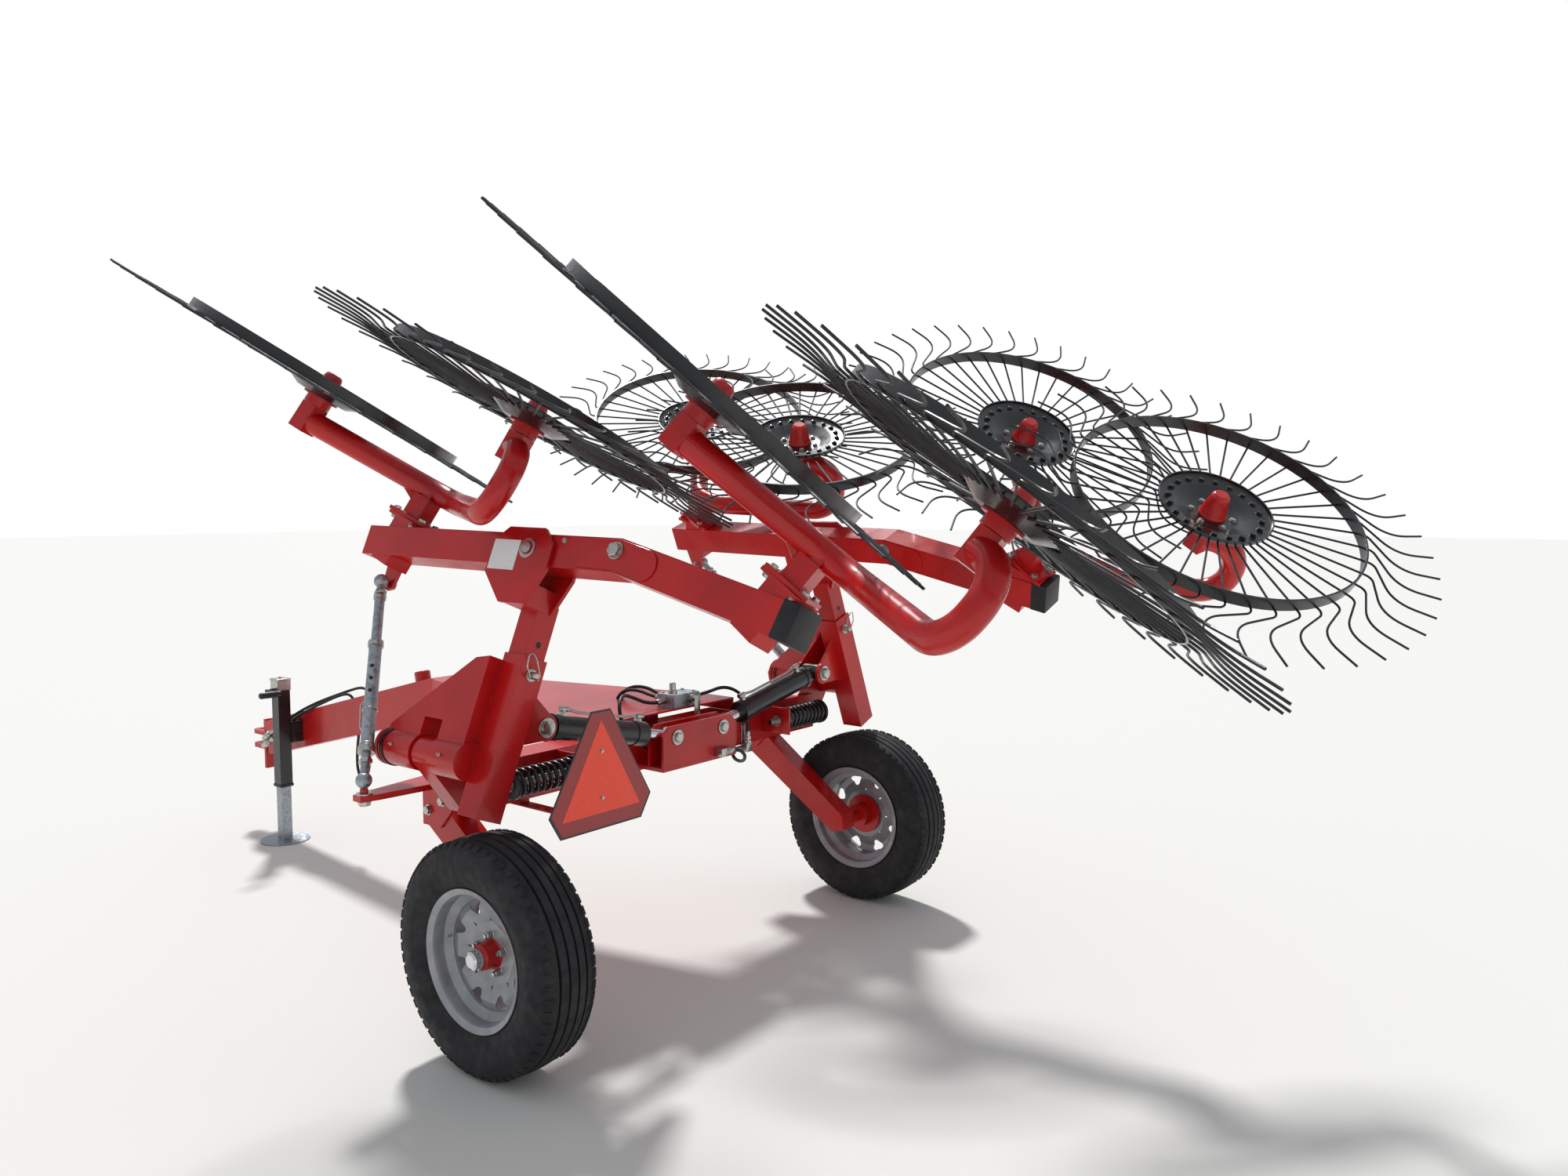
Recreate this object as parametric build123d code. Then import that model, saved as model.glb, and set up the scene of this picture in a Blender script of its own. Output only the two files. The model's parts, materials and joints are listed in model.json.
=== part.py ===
from build123d import *
from math import cos, radians, sin, tan
import os

# Carted V rake with eight tined wheels, folded for the road and parked on its jack.
# Model frame before the last shift: +X right, +Y forward, +Z up, ground at Z 0,
# the road wheels' axle over Y 0. Millimetres and degrees.

# Road wheels
TRACK = 1900
TYRE_R = 344
TYRE_W = 205
RIM_R = 190
RIM_FLANGE_R = 207
RIM_W = 165
RIM_SHEET = 5
RIM_WINDOWS = 8
HUB_R = 78
HUB_BORE_R = 21
AXLE_R = 20.5
TYRE_GAP = 12

# Arm hinge: a spindle along Y on each side of the frame
HINGE_X = 960
HINGE_Z = 890
LEAN = 22
SPINDLE_R = 30
HINGE_TUBE_R = 57
HINGE_GAP = 0.6
HINGE_REAR = (90, 216)
HINGE_LUG = (222, 298)
HINGE_FRONT = (304, 460)

# Arm post, in the arm's frame: x out, y forward, z up the post, from the hinge axis
POST = 90
POST_X = -58
POST_WALL = 6
POST_FOOT = -150
POST_TOP = 335
UPPER_POST = 76
GUSSET_W = 70

# Head and beam; the beam's own frame sits on the head's pin, turned a little about the post
BEAM_X = -12
BEAM_Z = 640
BEAM_YAW = 3.3
HEAD_Y = 50
BEAM = 100
BEAM_WALL = 6
BEAM_FRONT = 795
BEAM_BEND = -345
BEAM_BEND_ANGLE = 13
BEAM_REAR = 655
HEAD_PIN_R = 20
HEAD_PLATE = 12
HEAD_GAP = 1
HEAD_OUTLINE = [(-100, -60), (-100, 20), (-50, 65), (100, 65), (155, 20), (155, -80), (60, -170), (-50, -170)]

# Rocker, in its own frame: x out, y forward, z along the wheel's axis
SOCKETS = {"front": 678, "rear": -868}
SOCKET_TILT = 18.5
SOCKET_ROLL = 2
SOCKET = 90
SOCKET_TOP = 80
FLANGE = 12
FLANGE_L = 150
FLANGE_W = 110
ROCKER_TURN = 16.5
ROCKER_SPAN = 378
ROCKER_OUT = 247
ROCKER_R = 38
ROCKER_LEVEL = 212
KNEE_PAST = 80
KNEE_BEND_R = 150
HOOK_OVER = 45
HOOK_LOW = 25
HOOK_RISE = 235
GUSSET_REACH = 150
GUSSET_T = 10
ROCKER_PIN_R = 25
STEM = 70
HUB_STEM = 60
STEM_TO_WHEEL = 78
WHEEL_SPLAY = 1.8

# Rake wheel, in its own frame: z along the axle towards the cap, tines in the dish's rim plane
TINES = 40
TIP_R = 697
TINE = 7
TINE_ROOT = 165
TINE_KNEE = 492
TINE_SWEEP = (545, -165)
TINE_TIP_Y = -170
HOOP_R = 455
HOOP_T = 6
HOOP_Z = (-6, 34)
DISH_R = 182
DISH_T = 5
DISH_DEPTH = 24
CAP_R = 45
CAP_TOP_R = 28
CAP_H = 80
RAKE_AXLE_R = 15
RAKE_BORE_GAP = 0.5

# Link from the frame's toe to the beam
TOE = Vector(1102, 402, 816)
TOE_LEVER_T = 18
TOE_STUD_R = 12
LUG_Y = 715
LUG_DROP = 78
BALL_R = 24
BALL_GAP = 3
LUG_T = 12
LINK_R = 20
LINK_ROD_R = 13

# Cylinder from the arm's ear to the frame's anchor
EAR_X = -205
EAR_Z = 155
EAR_R = 42
CYL_Y = 95
CYL_HALF_GAP = 43
EAR_T = 12
CYL_PIN_R = 18
BARREL_R = 39
BARREL_START = 62
BARREL_END = 470
ROD_R = 20
ROD_START = 92
ROD_EYE_R = 32
ROD_EYE_W = 50
ANCHOR_X = 120
ANCHOR_Z = 830
ANCHOR_HALF = 190
ANCHOR_T = 10
ANCHOR_LOW = 732
ANCHOR_TOP = 872
PIN_GAP = 0.5

# Frame
CROSS_Y = (205, 325)
CROSS_Z = (700, 840)
CROSS_X = 862
DRAWBAR_W = 120
DRAWBAR_H = 170
DRAWBAR_BEND_Y = 1560
DRAWBAR_Z = 800
DRAWBAR_SLOPE = 14
DRAWBAR_TIP_Y = 2960
DECK_T = 6
DECK_FLANGE = 44
DECK_FRONT = (95, 1500)
DECK_REAR = (350, 372)
LEG_W = 80
LEG_H = 110
SPRING_X = (535, 790)
SPRING_Y = 120
SPRING_Z = 785
SPRING_R = 45

# Jack
JACK_X = -142
JACK_Y = 2660
JACK_OUTER = 60
JACK_INNER = 48
JACK_FOOT = 225
JACK_Z = (265, 780)
JACK_LEG_TOP = 500

# Hitch
HITCH_PIN_R = 13.5
HITCH_REACH = 160
HITCH_TONGUE_T = 20
HITCH_PLATE_T = 18
HITCH_Z = 425

# Flow valve: x from, x to, y from, y to, height
VALVE = (30, 165, 215, 300, 48)

# Sign
SIGN_POS = Vector(-665, -150, 848)
SIGN_W = 406
SIGN_H = 356

C = Align.CENTER
MIN = Align.MIN


def box(x0, x1, y0, y1, z0, z1):
    return Pos((x0 + x1) / 2, (y0 + y1) / 2, (z0 + z1) / 2) * Box(x1 - x0, y1 - y0, z1 - z0)


def rod(start, end, radius):
    start, end = Vector(start), Vector(end)
    along = Plane(origin=start, z_dir=end - start)
    return along * Cylinder(radius, (end - start).length, align=(C, C, MIN))


def slab_x(points, x0, x1):
    """A plate with its outline in Y and Z, from x0 to x1."""
    face = Plane(origin=(x0, 0, 0), x_dir=(0, 1, 0), z_dir=(1, 0, 0)) * make_face(Polyline(points, close=True))
    return extrude(face, amount=x1 - x0, dir=(1, 0, 0))


def slab_y(points, y0, y1):
    """A plate with its outline in X and Z, from y0 to y1."""
    face = Plane(origin=(0, y0, 0), x_dir=(1, 0, 0), z_dir=(0, -1, 0)) * make_face(Polyline(points, close=True))
    return extrude(face, amount=y1 - y0, dir=(0, 1, 0))


def slab_z(points, z0, z1):
    """A plate with its outline in X and Y, from z0 to z1."""
    face = Plane.XY.offset(z0) * make_face(Polyline(points, close=True))
    return extrude(face, amount=z1 - z0, dir=(0, 0, 1))


def turned(profile):
    """A solid of revolution about Z from a closed profile in radius and height."""
    face = Plane.XZ * make_face(Polyline(profile, close=True))
    return revolve(face, Axis.Z)


# Frames of the right side's moving parts

lean = radians(LEAN)
ARM = Plane(origin=(HINGE_X, 0, HINGE_Z), x_dir=(cos(lean), 0, sin(lean)), z_dir=(-sin(lean), 0, cos(lean)))


yaw = radians(BEAM_YAW)
BEAM_IN_ARM = Plane(origin=(BEAM_X, HEAD_Y, BEAM_Z), x_dir=(cos(yaw), -sin(yaw), 0), z_dir=(0, 0, 1))
BEAM_FRAME = Plane(ARM.location * BEAM_IN_ARM.location)


def in_arm(x, y, z):
    return ARM.from_local_coords(Vector(x, y, z))


def in_beam(x, y, z):
    return BEAM_FRAME.from_local_coords(Vector(x, y, z))


def socket_plane(where):
    """Square frame of a socket on the beam's centre line, in the beam's frame."""
    y = SOCKETS[where]
    past_bend = max(0, BEAM_BEND - y)
    tilt = SOCKET_TILT + (BEAM_BEND_ANGLE if past_bend else 0)
    place = Location((0, y, -past_bend * tan(radians(BEAM_BEND_ANGLE))))
    return Plane(place * Rot(0, -SOCKET_ROLL, 0) * Rot(tilt, 0, 0))


def rocker_frame(where):
    """Rocker frame at rest, in the machine's frame."""
    return Plane(BEAM_FRAME.location * socket_plane(where).location * Rot(0, 0, -ROCKER_TURN))


# Wheel number: its rocker, its end and its height in the rocker's frame
LOW_WHEEL = ROCKER_LEVEL + ROCKER_R + STEM_TO_WHEEL
WHEELS = {
    1: ("front", 1, LOW_WHEEL),
    2: ("front", -1, LOW_WHEEL + HOOK_RISE),
    3: ("rear", 1, LOW_WHEEL),
    4: ("rear", -1, LOW_WHEEL + HOOK_RISE),
}


def wheel_place(end, height):
    """Rake wheel frame in the rocker's frame, splayed a little along the rocker."""
    return Location((ROCKER_OUT, end * ROCKER_SPAN, height)) * Rot(end * WHEEL_SPLAY, 0, 0)


# Road wheels, modelled about Z and turned to face outward

def tyre():
    w, r = TYRE_W / 2, TYRE_R
    profile = [
        (RIM_R + 4, -RIM_W / 2 + 8), (RIM_R + 4, RIM_W / 2 - 8), (RIM_FLANGE_R, RIM_W / 2 - 2),
        (RIM_FLANGE_R + 55, w), (r - 26, w - 6), (r - 5, w - 28), (r, 0),
        (r - 5, -w + 28), (r - 26, -w + 6), (RIM_FLANGE_R + 55, -w), (RIM_FLANGE_R, -RIM_W / 2 + 2),
    ]
    return turned(profile)


def rim():
    h, s = RIM_W / 2, RIM_SHEET
    well = turned([
        (RIM_R - s, -h + 8), (RIM_R, -h + 8), (RIM_R + 3.5, -h + 9), (RIM_R + 3.5, h - 9), (RIM_R, h - 8),
        (RIM_FLANGE_R, h), (RIM_FLANGE_R, h + s), (RIM_R - s, h - 4), (RIM_R - s - 4, h - 30),
        (RIM_R - s - 4, -h + 30),
    ])
    disc = turned([
        (HUB_BORE_R + 22, 8), (95, 8), (150, 26), (RIM_R - s - 2, 10), (RIM_R - s - 2, 10 - s),
        (150, 26 - s), (95, 8 - s), (HUB_BORE_R + 22, 8 - s),
    ])
    window = slab_z([(112, -9), (112, 9), (158, 32), (158, -32)], -40, 60)
    for i in range(RIM_WINDOWS):
        disc -= Rot(0, 0, 360 / RIM_WINDOWS * (i + 0.5)) * window
    return well + disc


def hub():
    bolt_flange = turned([
        (HUB_BORE_R, -60), (HUB_R * 0.6, -60), (HUB_R * 0.6, -12), (HUB_R, -12), (HUB_R, 2.4), (42, 2.4),
        (36, 50), (27, 56), (27, 84), (0, 84), (0, 70), (HUB_BORE_R, 70),
    ])
    return bolt_flange


WHEEL_OUT = Plane(origin=(TRACK / 2, 0, TYRE_R), x_dir=(0, 1, 0), z_dir=(1, 0, 0))


# Arm, head and beam, in the arm's frame

def arm():
    half = POST / 2
    post = box(POST_X - half, POST_X + half, 0, POST, POST_FOOT, POST_TOP)
    inner = half - POST_WALL
    hollow = box(POST_X - inner, POST_X + inner, POST_WALL, POST - POST_WALL, POST_FOOT, POST_TOP)
    tubes = rod((0, HINGE_REAR[0] - POST_WALL, 0), (0, HINGE_REAR[1], 0), HINGE_TUBE_R)
    tubes += rod((0, HINGE_FRONT[0], 0), (0, HINGE_FRONT[1], 0), HINGE_TUBE_R)
    lug_clear = HINGE_TUBE_R + 45
    outline = [
        (POST, 40), (HINGE_REAR[1], 40), (HINGE_REAR[1], lug_clear), (HINGE_FRONT[0], lug_clear),
        (HINGE_FRONT[0], 40), (HINGE_FRONT[1], 40), (HINGE_FRONT[1], 62), (150, 300), (POST, 310),
    ]
    gusset = slab_x(outline, -GUSSET_W / 2, GUSSET_W / 2)
    ears = Part()
    for side, root in ((-1, POST_X - half + POST_WALL), (1, -GUSSET_W / 2)):
        near = CYL_Y + side * CYL_HALF_GAP
        y0, y1 = sorted((near, near + side * EAR_T))
        web = slab_y([(EAR_X, EAR_Z - EAR_R), (root, 70), (root, 250), (EAR_X, EAR_Z + EAR_R)], y0, y1)
        ears += web + rod((EAR_X, y0, EAR_Z), (EAR_X, y1, EAR_Z), EAR_R)
    reach = CYL_HALF_GAP + EAR_T + 7
    pin = rod((EAR_X, CYL_Y - reach, EAR_Z), (EAR_X, CYL_Y + reach, EAR_Z), CYL_PIN_R)
    solid = post - hollow + tubes + gusset + ears + pin
    solid += box(POST_X - half, POST_X + half, 0, POST, POST_FOOT, POST_FOOT + POST_WALL)
    spindle = rod((0, POST - 1, 0), (0, HINGE_FRONT[1] + 1, 0), SPINDLE_R + HINGE_GAP)
    return solid - spindle


def head():
    half = UPPER_POST / 2
    mid = POST / 2
    inner = BEAM / 2 + HEAD_GAP
    outer = inner + HEAD_PLATE
    post = box(POST_X - half, POST_X + half, mid - half, mid + half, POST_TOP - 120, BEAM_Z - 140)
    plates = slab_x(HEAD_OUTLINE, -outer, -inner) + slab_x(HEAD_OUTLINE, inner, outer)
    saddle = box(-outer, outer, -POST / 2, POST / 2, -170, -100)
    pin = rod((-outer - 8, 0, 0), (outer + 8, 0, 0), HEAD_PIN_R)
    return post + BEAM_IN_ARM * (plates + saddle + pin)


def beam_outline(half, short=0.0):
    """Side outline of the bent beam, with its ends pulled in by short."""
    bend = radians(BEAM_BEND_ANGLE)
    shift = half * tan(bend / 2)
    along = Vector(-cos(bend), -sin(bend), 0)
    up = Vector(-sin(bend), cos(bend), 0)
    end = Vector(BEAM_BEND, 0, 0) + along * (BEAM_REAR - short)
    top, bottom = end + up * half, end - up * half
    return [
        (BEAM_FRONT - short, half), (BEAM_BEND - shift, half), (top.X, top.Y),
        (bottom.X, bottom.Y), (BEAM_BEND + shift, -half), (BEAM_FRONT - short, -half),
    ]


def beam():
    half = BEAM / 2
    wall = half - BEAM_WALL
    solid = slab_x(beam_outline(half), -half, half) - slab_x(beam_outline(wall, BEAM_WALL), -wall, wall)
    reach = SOCKET / 2
    for where in SOCKETS:
        square = socket_plane(where)
        solid += square * box(-reach, reach, -reach, reach, -SOCKET_TOP + 5, SOCKET_TOP)
        solid += square * box(
            -FLANGE_W / 2, FLANGE_W / 2, -FLANGE_L / 2, FLANGE_L / 2, SOCKET_TOP, SOCKET_TOP + FLANGE)
        solid -= square * rod((0, 0, 15), (0, 0, SOCKET_TOP + FLANGE + 1), ROCKER_PIN_R + PIN_GAP)
    lug_z = -half - LUG_DROP
    lug_x = -BALL_R - BALL_GAP - LUG_T
    lug = [(LUG_Y - 45, -half + 1), (LUG_Y - 25, lug_z - 12), (LUG_Y, lug_z - 22), (LUG_Y + 25, lug_z - 12),
           (LUG_Y + 35, -half + 1)]
    solid += slab_x(lug, lug_x, lug_x + LUG_T)
    return solid - rod((-half - 1, 0, 0), (half + 1, 0, 0), HEAD_PIN_R + PIN_GAP)


# Rocker and rake wheels, in the rocker's frame

def rocker():
    level = ROCKER_LEVEL
    straight = Vector(ROCKER_OUT, ROCKER_SPAN, 0).normalized()
    front_end = Vector(ROCKER_OUT, ROCKER_SPAN, level)
    knee = Vector(0, 0, level) - straight * KNEE_PAST
    rear_end = Vector(ROCKER_OUT, -ROCKER_SPAN, level + HOOK_RISE)
    flat = Vector(rear_end.X - knee.X, rear_end.Y - knee.Y, 0).normalized()
    hook = (HOOK_RISE - HOOK_LOW) / 2
    over = flat * (hook + HOOK_OVER)
    low = rear_end + over - Vector(0, 0, HOOK_RISE - HOOK_LOW)
    high = rear_end + over
    path = FilletPolyline(front_end, knee, low, high, rear_end, radius=[KNEE_BEND_R, hook - 8, hook - 2])
    start = Plane(origin=front_end, z_dir=path % 0)
    solid = sweep(start * Circle(ROCKER_R), path=path)
    base = SOCKET_TOP + FLANGE + HEAD_GAP
    solid += box(-FLANGE_W / 2, FLANGE_W / 2, -FLANGE_L / 2, FLANGE_L / 2, base, base + FLANGE)
    solid += box(-STEM / 2, STEM / 2, -STEM / 2, STEM / 2, base, level)
    web = slab_x([(0, base + FLANGE + 20), (0, level), (GUSSET_REACH, level)], -GUSSET_T / 2, GUSSET_T / 2)
    along = Plane(origin=(0, 0, 0), x_dir=(straight.Y, -straight.X, 0), z_dir=(0, 0, 1))
    solid += along * web
    solid += rod((0, 0, 20), (0, 0, base + 1), ROCKER_PIN_R)
    half = HUB_STEM / 2
    for place, end, height in WHEELS.values():
        if place == "front":
            top = -STEM_TO_WHEEL + 14
            stub = box(-half, half, -half, half, -STEM_TO_WHEEL - 2 * ROCKER_R - 4, top)
            stub += rod((0, 0, top - 1), (0, 0, -14), RAKE_AXLE_R)
            solid += wheel_place(end, height) * stub
    return solid


def strip(points, half):
    """Outline of a thin bar along points in a plane, mitred at its bends."""
    sides = [(b - a).normalized() for a, b in zip(points, points[1:])]
    left, right = [], []
    for i, point in enumerate(points):
        before, after = sides[max(i - 1, 0)], sides[min(i, len(sides) - 1)]
        across = (Vector(-before.Y, before.X, 0) + Vector(-after.Y, after.X, 0)).normalized()
        reach = across * (half / across.dot(Vector(-after.Y, after.X, 0)))
        left.append(point + reach)
        right.append(point - reach)
    return [(p.X, p.Y) for p in left + right[::-1]]


def rake_wheel():
    """Dish, hoop and swept wire tines, the wires as square bars; their round look is left to the surface."""
    solid = turned([
        (CAP_R, -DISH_DEPTH), (80, -DISH_DEPTH), (130, 0), (DISH_R, 0), (DISH_R, -DISH_T),
        (132, -DISH_T), (82, -DISH_DEPTH - DISH_T), (CAP_R, -DISH_DEPTH - DISH_T),
    ])
    low, high = HOOP_Z
    solid += turned([(HOOP_R, low), (HOOP_R + HOOP_T, low), (HOOP_R + HOOP_T, high), (HOOP_R, high)])
    tip = Vector((TIP_R ** 2 - TINE_TIP_Y ** 2) ** 0.5, TINE_TIP_Y, 0)
    wire = [Vector(TINE_ROOT, 0, 0), Vector(TINE_KNEE, 0, 0), Vector(*TINE_SWEEP, 0), tip]
    tine = slab_z(strip(wire, TINE / 2), -TINE / 2, TINE / 2)
    return solid + [Rot(0, 0, 360 / TINES * i) * tine for i in range(TINES)]


def rake_hub():
    back = -DISH_DEPTH - DISH_T
    bore = RAKE_AXLE_R + RAKE_BORE_GAP
    return turned([
        (bore, back - 34), (CAP_R - 3, back - 34), (CAP_R - 3, back - 8), (CAP_R + 12, back - 8),
        (CAP_R + 12, back), (CAP_R, back), (CAP_R, -DISH_DEPTH), (CAP_TOP_R + 4, -DISH_DEPTH + CAP_H - 8),
        (CAP_TOP_R - 4, -DISH_DEPTH + CAP_H), (0, -DISH_DEPTH + CAP_H), (0, -8), (bore, -8),
    ])


# Link and cylinder, between their two ends at rest

LUG = in_beam(0, LUG_Y, -BEAM / 2 - LUG_DROP)
EAR = in_arm(EAR_X, CYL_Y, EAR_Z)
ANCHOR = Vector(ANCHOR_X, CYL_Y, ANCHOR_Z)


def link():
    across = LUG - TOE
    length = across.length
    along = Plane(origin=TOE, x_dir=(0, 1, 0), z_dir=across)
    body = Sphere(BALL_R) + rod((0, 0, 0), (0, 0, length), LINK_ROD_R)
    body += rod((0, 0, 90), (0, 0, length - 260), LINK_R)
    body += rod((0, 0, length - 262), (0, 0, length - 70), LINK_R - 4)
    body += Pos(0, 0, length) * Sphere(BALL_R)
    return along * body


def cylinder_plane():
    return Plane(origin=EAR, x_dir=(0, 1, 0), z_dir=ANCHOR - EAR)


def barrel():
    eye = rod((-CYL_HALF_GAP + 1, 0, 0), (CYL_HALF_GAP - 1, 0, 0), ROD_EYE_R + 2)
    body = eye + rod((0, 0, 20), (0, 0, BARREL_START + 1), 28)
    body += rod((0, 0, BARREL_START), (0, 0, BARREL_END), BARREL_R)
    body -= rod((-CYL_HALF_GAP, 0, 0), (CYL_HALF_GAP, 0, 0), CYL_PIN_R + PIN_GAP)
    body -= rod((0, 0, ROD_START - 8), (0, 0, BARREL_END + 1), ROD_R + PIN_GAP)
    return cylinder_plane() * body


def piston_rod():
    length = (ANCHOR - EAR).length
    body = rod((0, 0, ROD_START), (0, 0, length), ROD_R)
    body += rod((-ROD_EYE_W / 2, 0, length), (ROD_EYE_W / 2, 0, length), ROD_EYE_R)
    return cylinder_plane() * body


# Fixed frame, symmetric pieces first

def both(solid):
    return solid + mirror(solid, Plane.YZ)


def main_frame():
    wall = 8
    tube = box(-CROSS_X, CROSS_X, *CROSS_Y, *CROSS_Z)
    tube -= box(
        -CROSS_X + 2, CROSS_X - 2, CROSS_Y[0] + wall, CROSS_Y[1] - wall, CROSS_Z[0] + wall, CROSS_Z[1] - wall)
    lug = slab_y([
        (CROSS_X - 90, CROSS_Z[0]), (CROSS_X + 20, CROSS_Z[0]), (HINGE_X + 48, HINGE_Z - 18),
        (HINGE_X - 48, HINGE_Z + 18), (CROSS_X - 90, CROSS_Z[1]),
    ], *HINGE_LUG)
    lug += rod((HINGE_X, HINGE_LUG[0], HINGE_Z), (HINGE_X, HINGE_LUG[1], HINGE_Z), 50)
    spindle = rod((HINGE_X, POST + 4, HINGE_Z), (HINGE_X, HINGE_FRONT[1] + 12, HINGE_Z), SPINDLE_R)
    cap = rod((HINGE_X, HINGE_FRONT[1] + 2, HINGE_Z), (HINGE_X, HINGE_FRONT[1] + 16, HINGE_Z), HINGE_TUBE_R + 3)
    inner = TRACK / 2 - TYRE_W / 2 - TYRE_GAP
    side = [(CROSS_Y[1], 700), (CROSS_Y[1], 800), (430, 800), (500, 740), (500, 610), (410, 610)]
    bracket = slab_x(side, inner - LEG_W - 16, inner - LEG_W - 8) + slab_x(side, inner - 8, inner)
    bracket += box(inner - LEG_W - 16, inner, CROSS_Y[1], 430, 792, 800)
    lever_top = TOE.Z - BALL_R - 18
    lever = slab_z([
        (inner - 1, TOE.Y - 55), (inner - 1, TOE.Y + 70), (TOE.X - 30, TOE.Y + 32), (TOE.X + 25, TOE.Y + 20),
        (TOE.X + 25, TOE.Y - 20), (TOE.X - 30, TOE.Y - 32),
    ], lever_top - TOE_LEVER_T, lever_top)
    ball_stud = rod((TOE.X, TOE.Y, lever_top - 1), (TOE.X, TOE.Y, TOE.Z - BALL_R - PIN_GAP), TOE_STUD_R)
    solid = tube + both(lug + spindle + cap + bracket + lever + ball_stud)
    rear = CYL_Y - ROD_EYE_W / 2 - 2 - ANCHOR_T
    return solid + box(-ANCHOR_HALF, ANCHOR_HALF, rear, CROSS_Y[0] + 1, ANCHOR_LOW - 14, ANCHOR_LOW)


def anchor_plate(side):
    """One of the two plates that the cylinders' rod eyes are pinned between; side is -1 behind, 1 in front."""
    near = CYL_Y + side * (ROD_EYE_W / 2 + 2)
    y0, y1 = sorted((near, near + side * ANCHOR_T))
    corner = 30
    outline = [
        (-ANCHOR_HALF, ANCHOR_LOW), (ANCHOR_HALF, ANCHOR_LOW), (ANCHOR_HALF, ANCHOR_TOP - corner),
        (ANCHOR_HALF - corner, ANCHOR_TOP), (corner - ANCHOR_HALF, ANCHOR_TOP), (-ANCHOR_HALF, ANCHOR_TOP - corner),
    ]
    return slab_y(outline, y0, y1)


def leg():
    """Welded box leg from the frame's bracket down to the axle stub."""
    inner = TRACK / 2 - TYRE_W / 2 - TYRE_GAP
    x0, x1 = inner - LEG_W - 8, inner - 8
    top, low = Vector(455, 655, 0), Vector(0, TYRE_R, 0)
    along = (low - top).normalized()
    up = Vector(-along.Y, along.X, 0)
    half = LEG_H / 2
    corners = [top + up * half, top - up * half, low - up * half * 0.8, low + along * 40, low + up * half * 0.8]
    solid = slab_x([(p.X, p.Y) for p in corners], x0, x1)
    axle = rod((x1 - 1, 0, TYRE_R), (TRACK / 2 + 68, 0, TYRE_R), AXLE_R)
    return solid + axle


def drawbar():
    slope = radians(DRAWBAR_SLOPE)
    half = DRAWBAR_H / 2

    def outline(h, short):
        shift = h * tan(slope / 2)
        length = (DRAWBAR_TIP_Y - DRAWBAR_BEND_Y) / cos(slope) - short
        end = Vector(DRAWBAR_BEND_Y + length * cos(slope), DRAWBAR_Z - length * sin(slope), 0)
        up = Vector(sin(slope), cos(slope), 0)
        return [
            (CROSS_Y[1] + short, DRAWBAR_Z + h), (DRAWBAR_BEND_Y + shift, DRAWBAR_Z + h),
            ((end + up * h).X, (end + up * h).Y), ((end - up * h).X, (end - up * h).Y),
            (DRAWBAR_BEND_Y - shift, DRAWBAR_Z - h), (CROSS_Y[1] + short, DRAWBAR_Z - h),
        ]
    wall = 6
    w = DRAWBAR_W / 2
    solid = slab_x(outline(half, 0), -w, w)
    return solid - slab_x(outline(half - wall, wall), -w + wall, w - wall)


def deck():
    top = DRAWBAR_Z + DRAWBAR_H / 2 + 0.3
    (xf, yf), (xr, yr) = DECK_FRONT, DECK_REAR
    back = CROSS_Y[0]
    outer = [(-xf, yf), (xf, yf), (xr, yr), (xr, back), (-xr, back), (-xr, yr)]
    t = DECK_T
    inner = [
        (-xf + t, yf + 1), (xf - t, yf + 1), (xr - t, yr), (xr - t, back - 1), (-xr + t, back - 1), (-xr + t, yr)]
    solid = slab_z(outer, top - DECK_FLANGE, top + t)
    return solid - slab_z(inner, top - DECK_FLANGE - 1, top)


def hitch():
    slope = radians(DRAWBAR_SLOPE)
    tip_z = DRAWBAR_Z - (DRAWBAR_TIP_Y - DRAWBAR_BEND_Y) * tan(slope)
    up = Vector(sin(slope), cos(slope), 0) * (DRAWBAR_H / 2)
    back = DRAWBAR_TIP_Y + up.X + 4
    pin_y = DRAWBAR_TIP_Y + HITCH_REACH
    plate = box(-55, 55, back, back + HITCH_PLATE_T, 290, tip_z + 90)
    collar = slab_x([
        (DRAWBAR_TIP_Y + up.X, tip_z + up.Y), (back, tip_z + up.Y), (back, tip_z - up.Y),
        (DRAWBAR_TIP_Y - up.X, tip_z - up.Y)], -50, 50)
    solid = plate + collar
    for z in (HITCH_Z - 45, HITCH_Z + 25):
        tongue = box(-40, 40, back + HITCH_PLATE_T - 1, pin_y, z, z + HITCH_TONGUE_T)
        tongue += Pos(0, pin_y, z) * Cylinder(40, HITCH_TONGUE_T, align=(C, C, MIN))
        solid += tongue
    return solid - Pos(0, pin_y, HITCH_Z - 60) * Cylinder(HITCH_PIN_R, 120, align=(C, C, MIN))


def jack_housing():
    o, i = JACK_OUTER / 2, JACK_INNER / 2
    z0, z1 = JACK_Z
    tube = box(JACK_X - o, JACK_X + o, JACK_Y - o, JACK_Y + o, z0, z1)
    bore = i + PIN_GAP
    tube -= box(JACK_X - bore, JACK_X + bore, JACK_Y - bore, JACK_Y + bore, z0 - 1, z1 - 8)
    clamp = box(JACK_X + o - 1, -DRAWBAR_W / 2 - 0.3, JACK_Y - 45, JACK_Y + 45, 480, 580)
    crank = rod((JACK_X - o, JACK_Y, z1 - 40), (JACK_X - o - 45, JACK_Y, z1 - 40), 8)
    crank += rod((JACK_X - o - 40, JACK_Y, z1 - 40), (JACK_X - o - 40, JACK_Y - 130, z1 - 40), 7)
    crank += rod((JACK_X - o - 40, JACK_Y - 125, z1 - 40), (JACK_X - o - 130, JACK_Y - 125, z1 - 40), 13)
    return tube + clamp + crank


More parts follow.
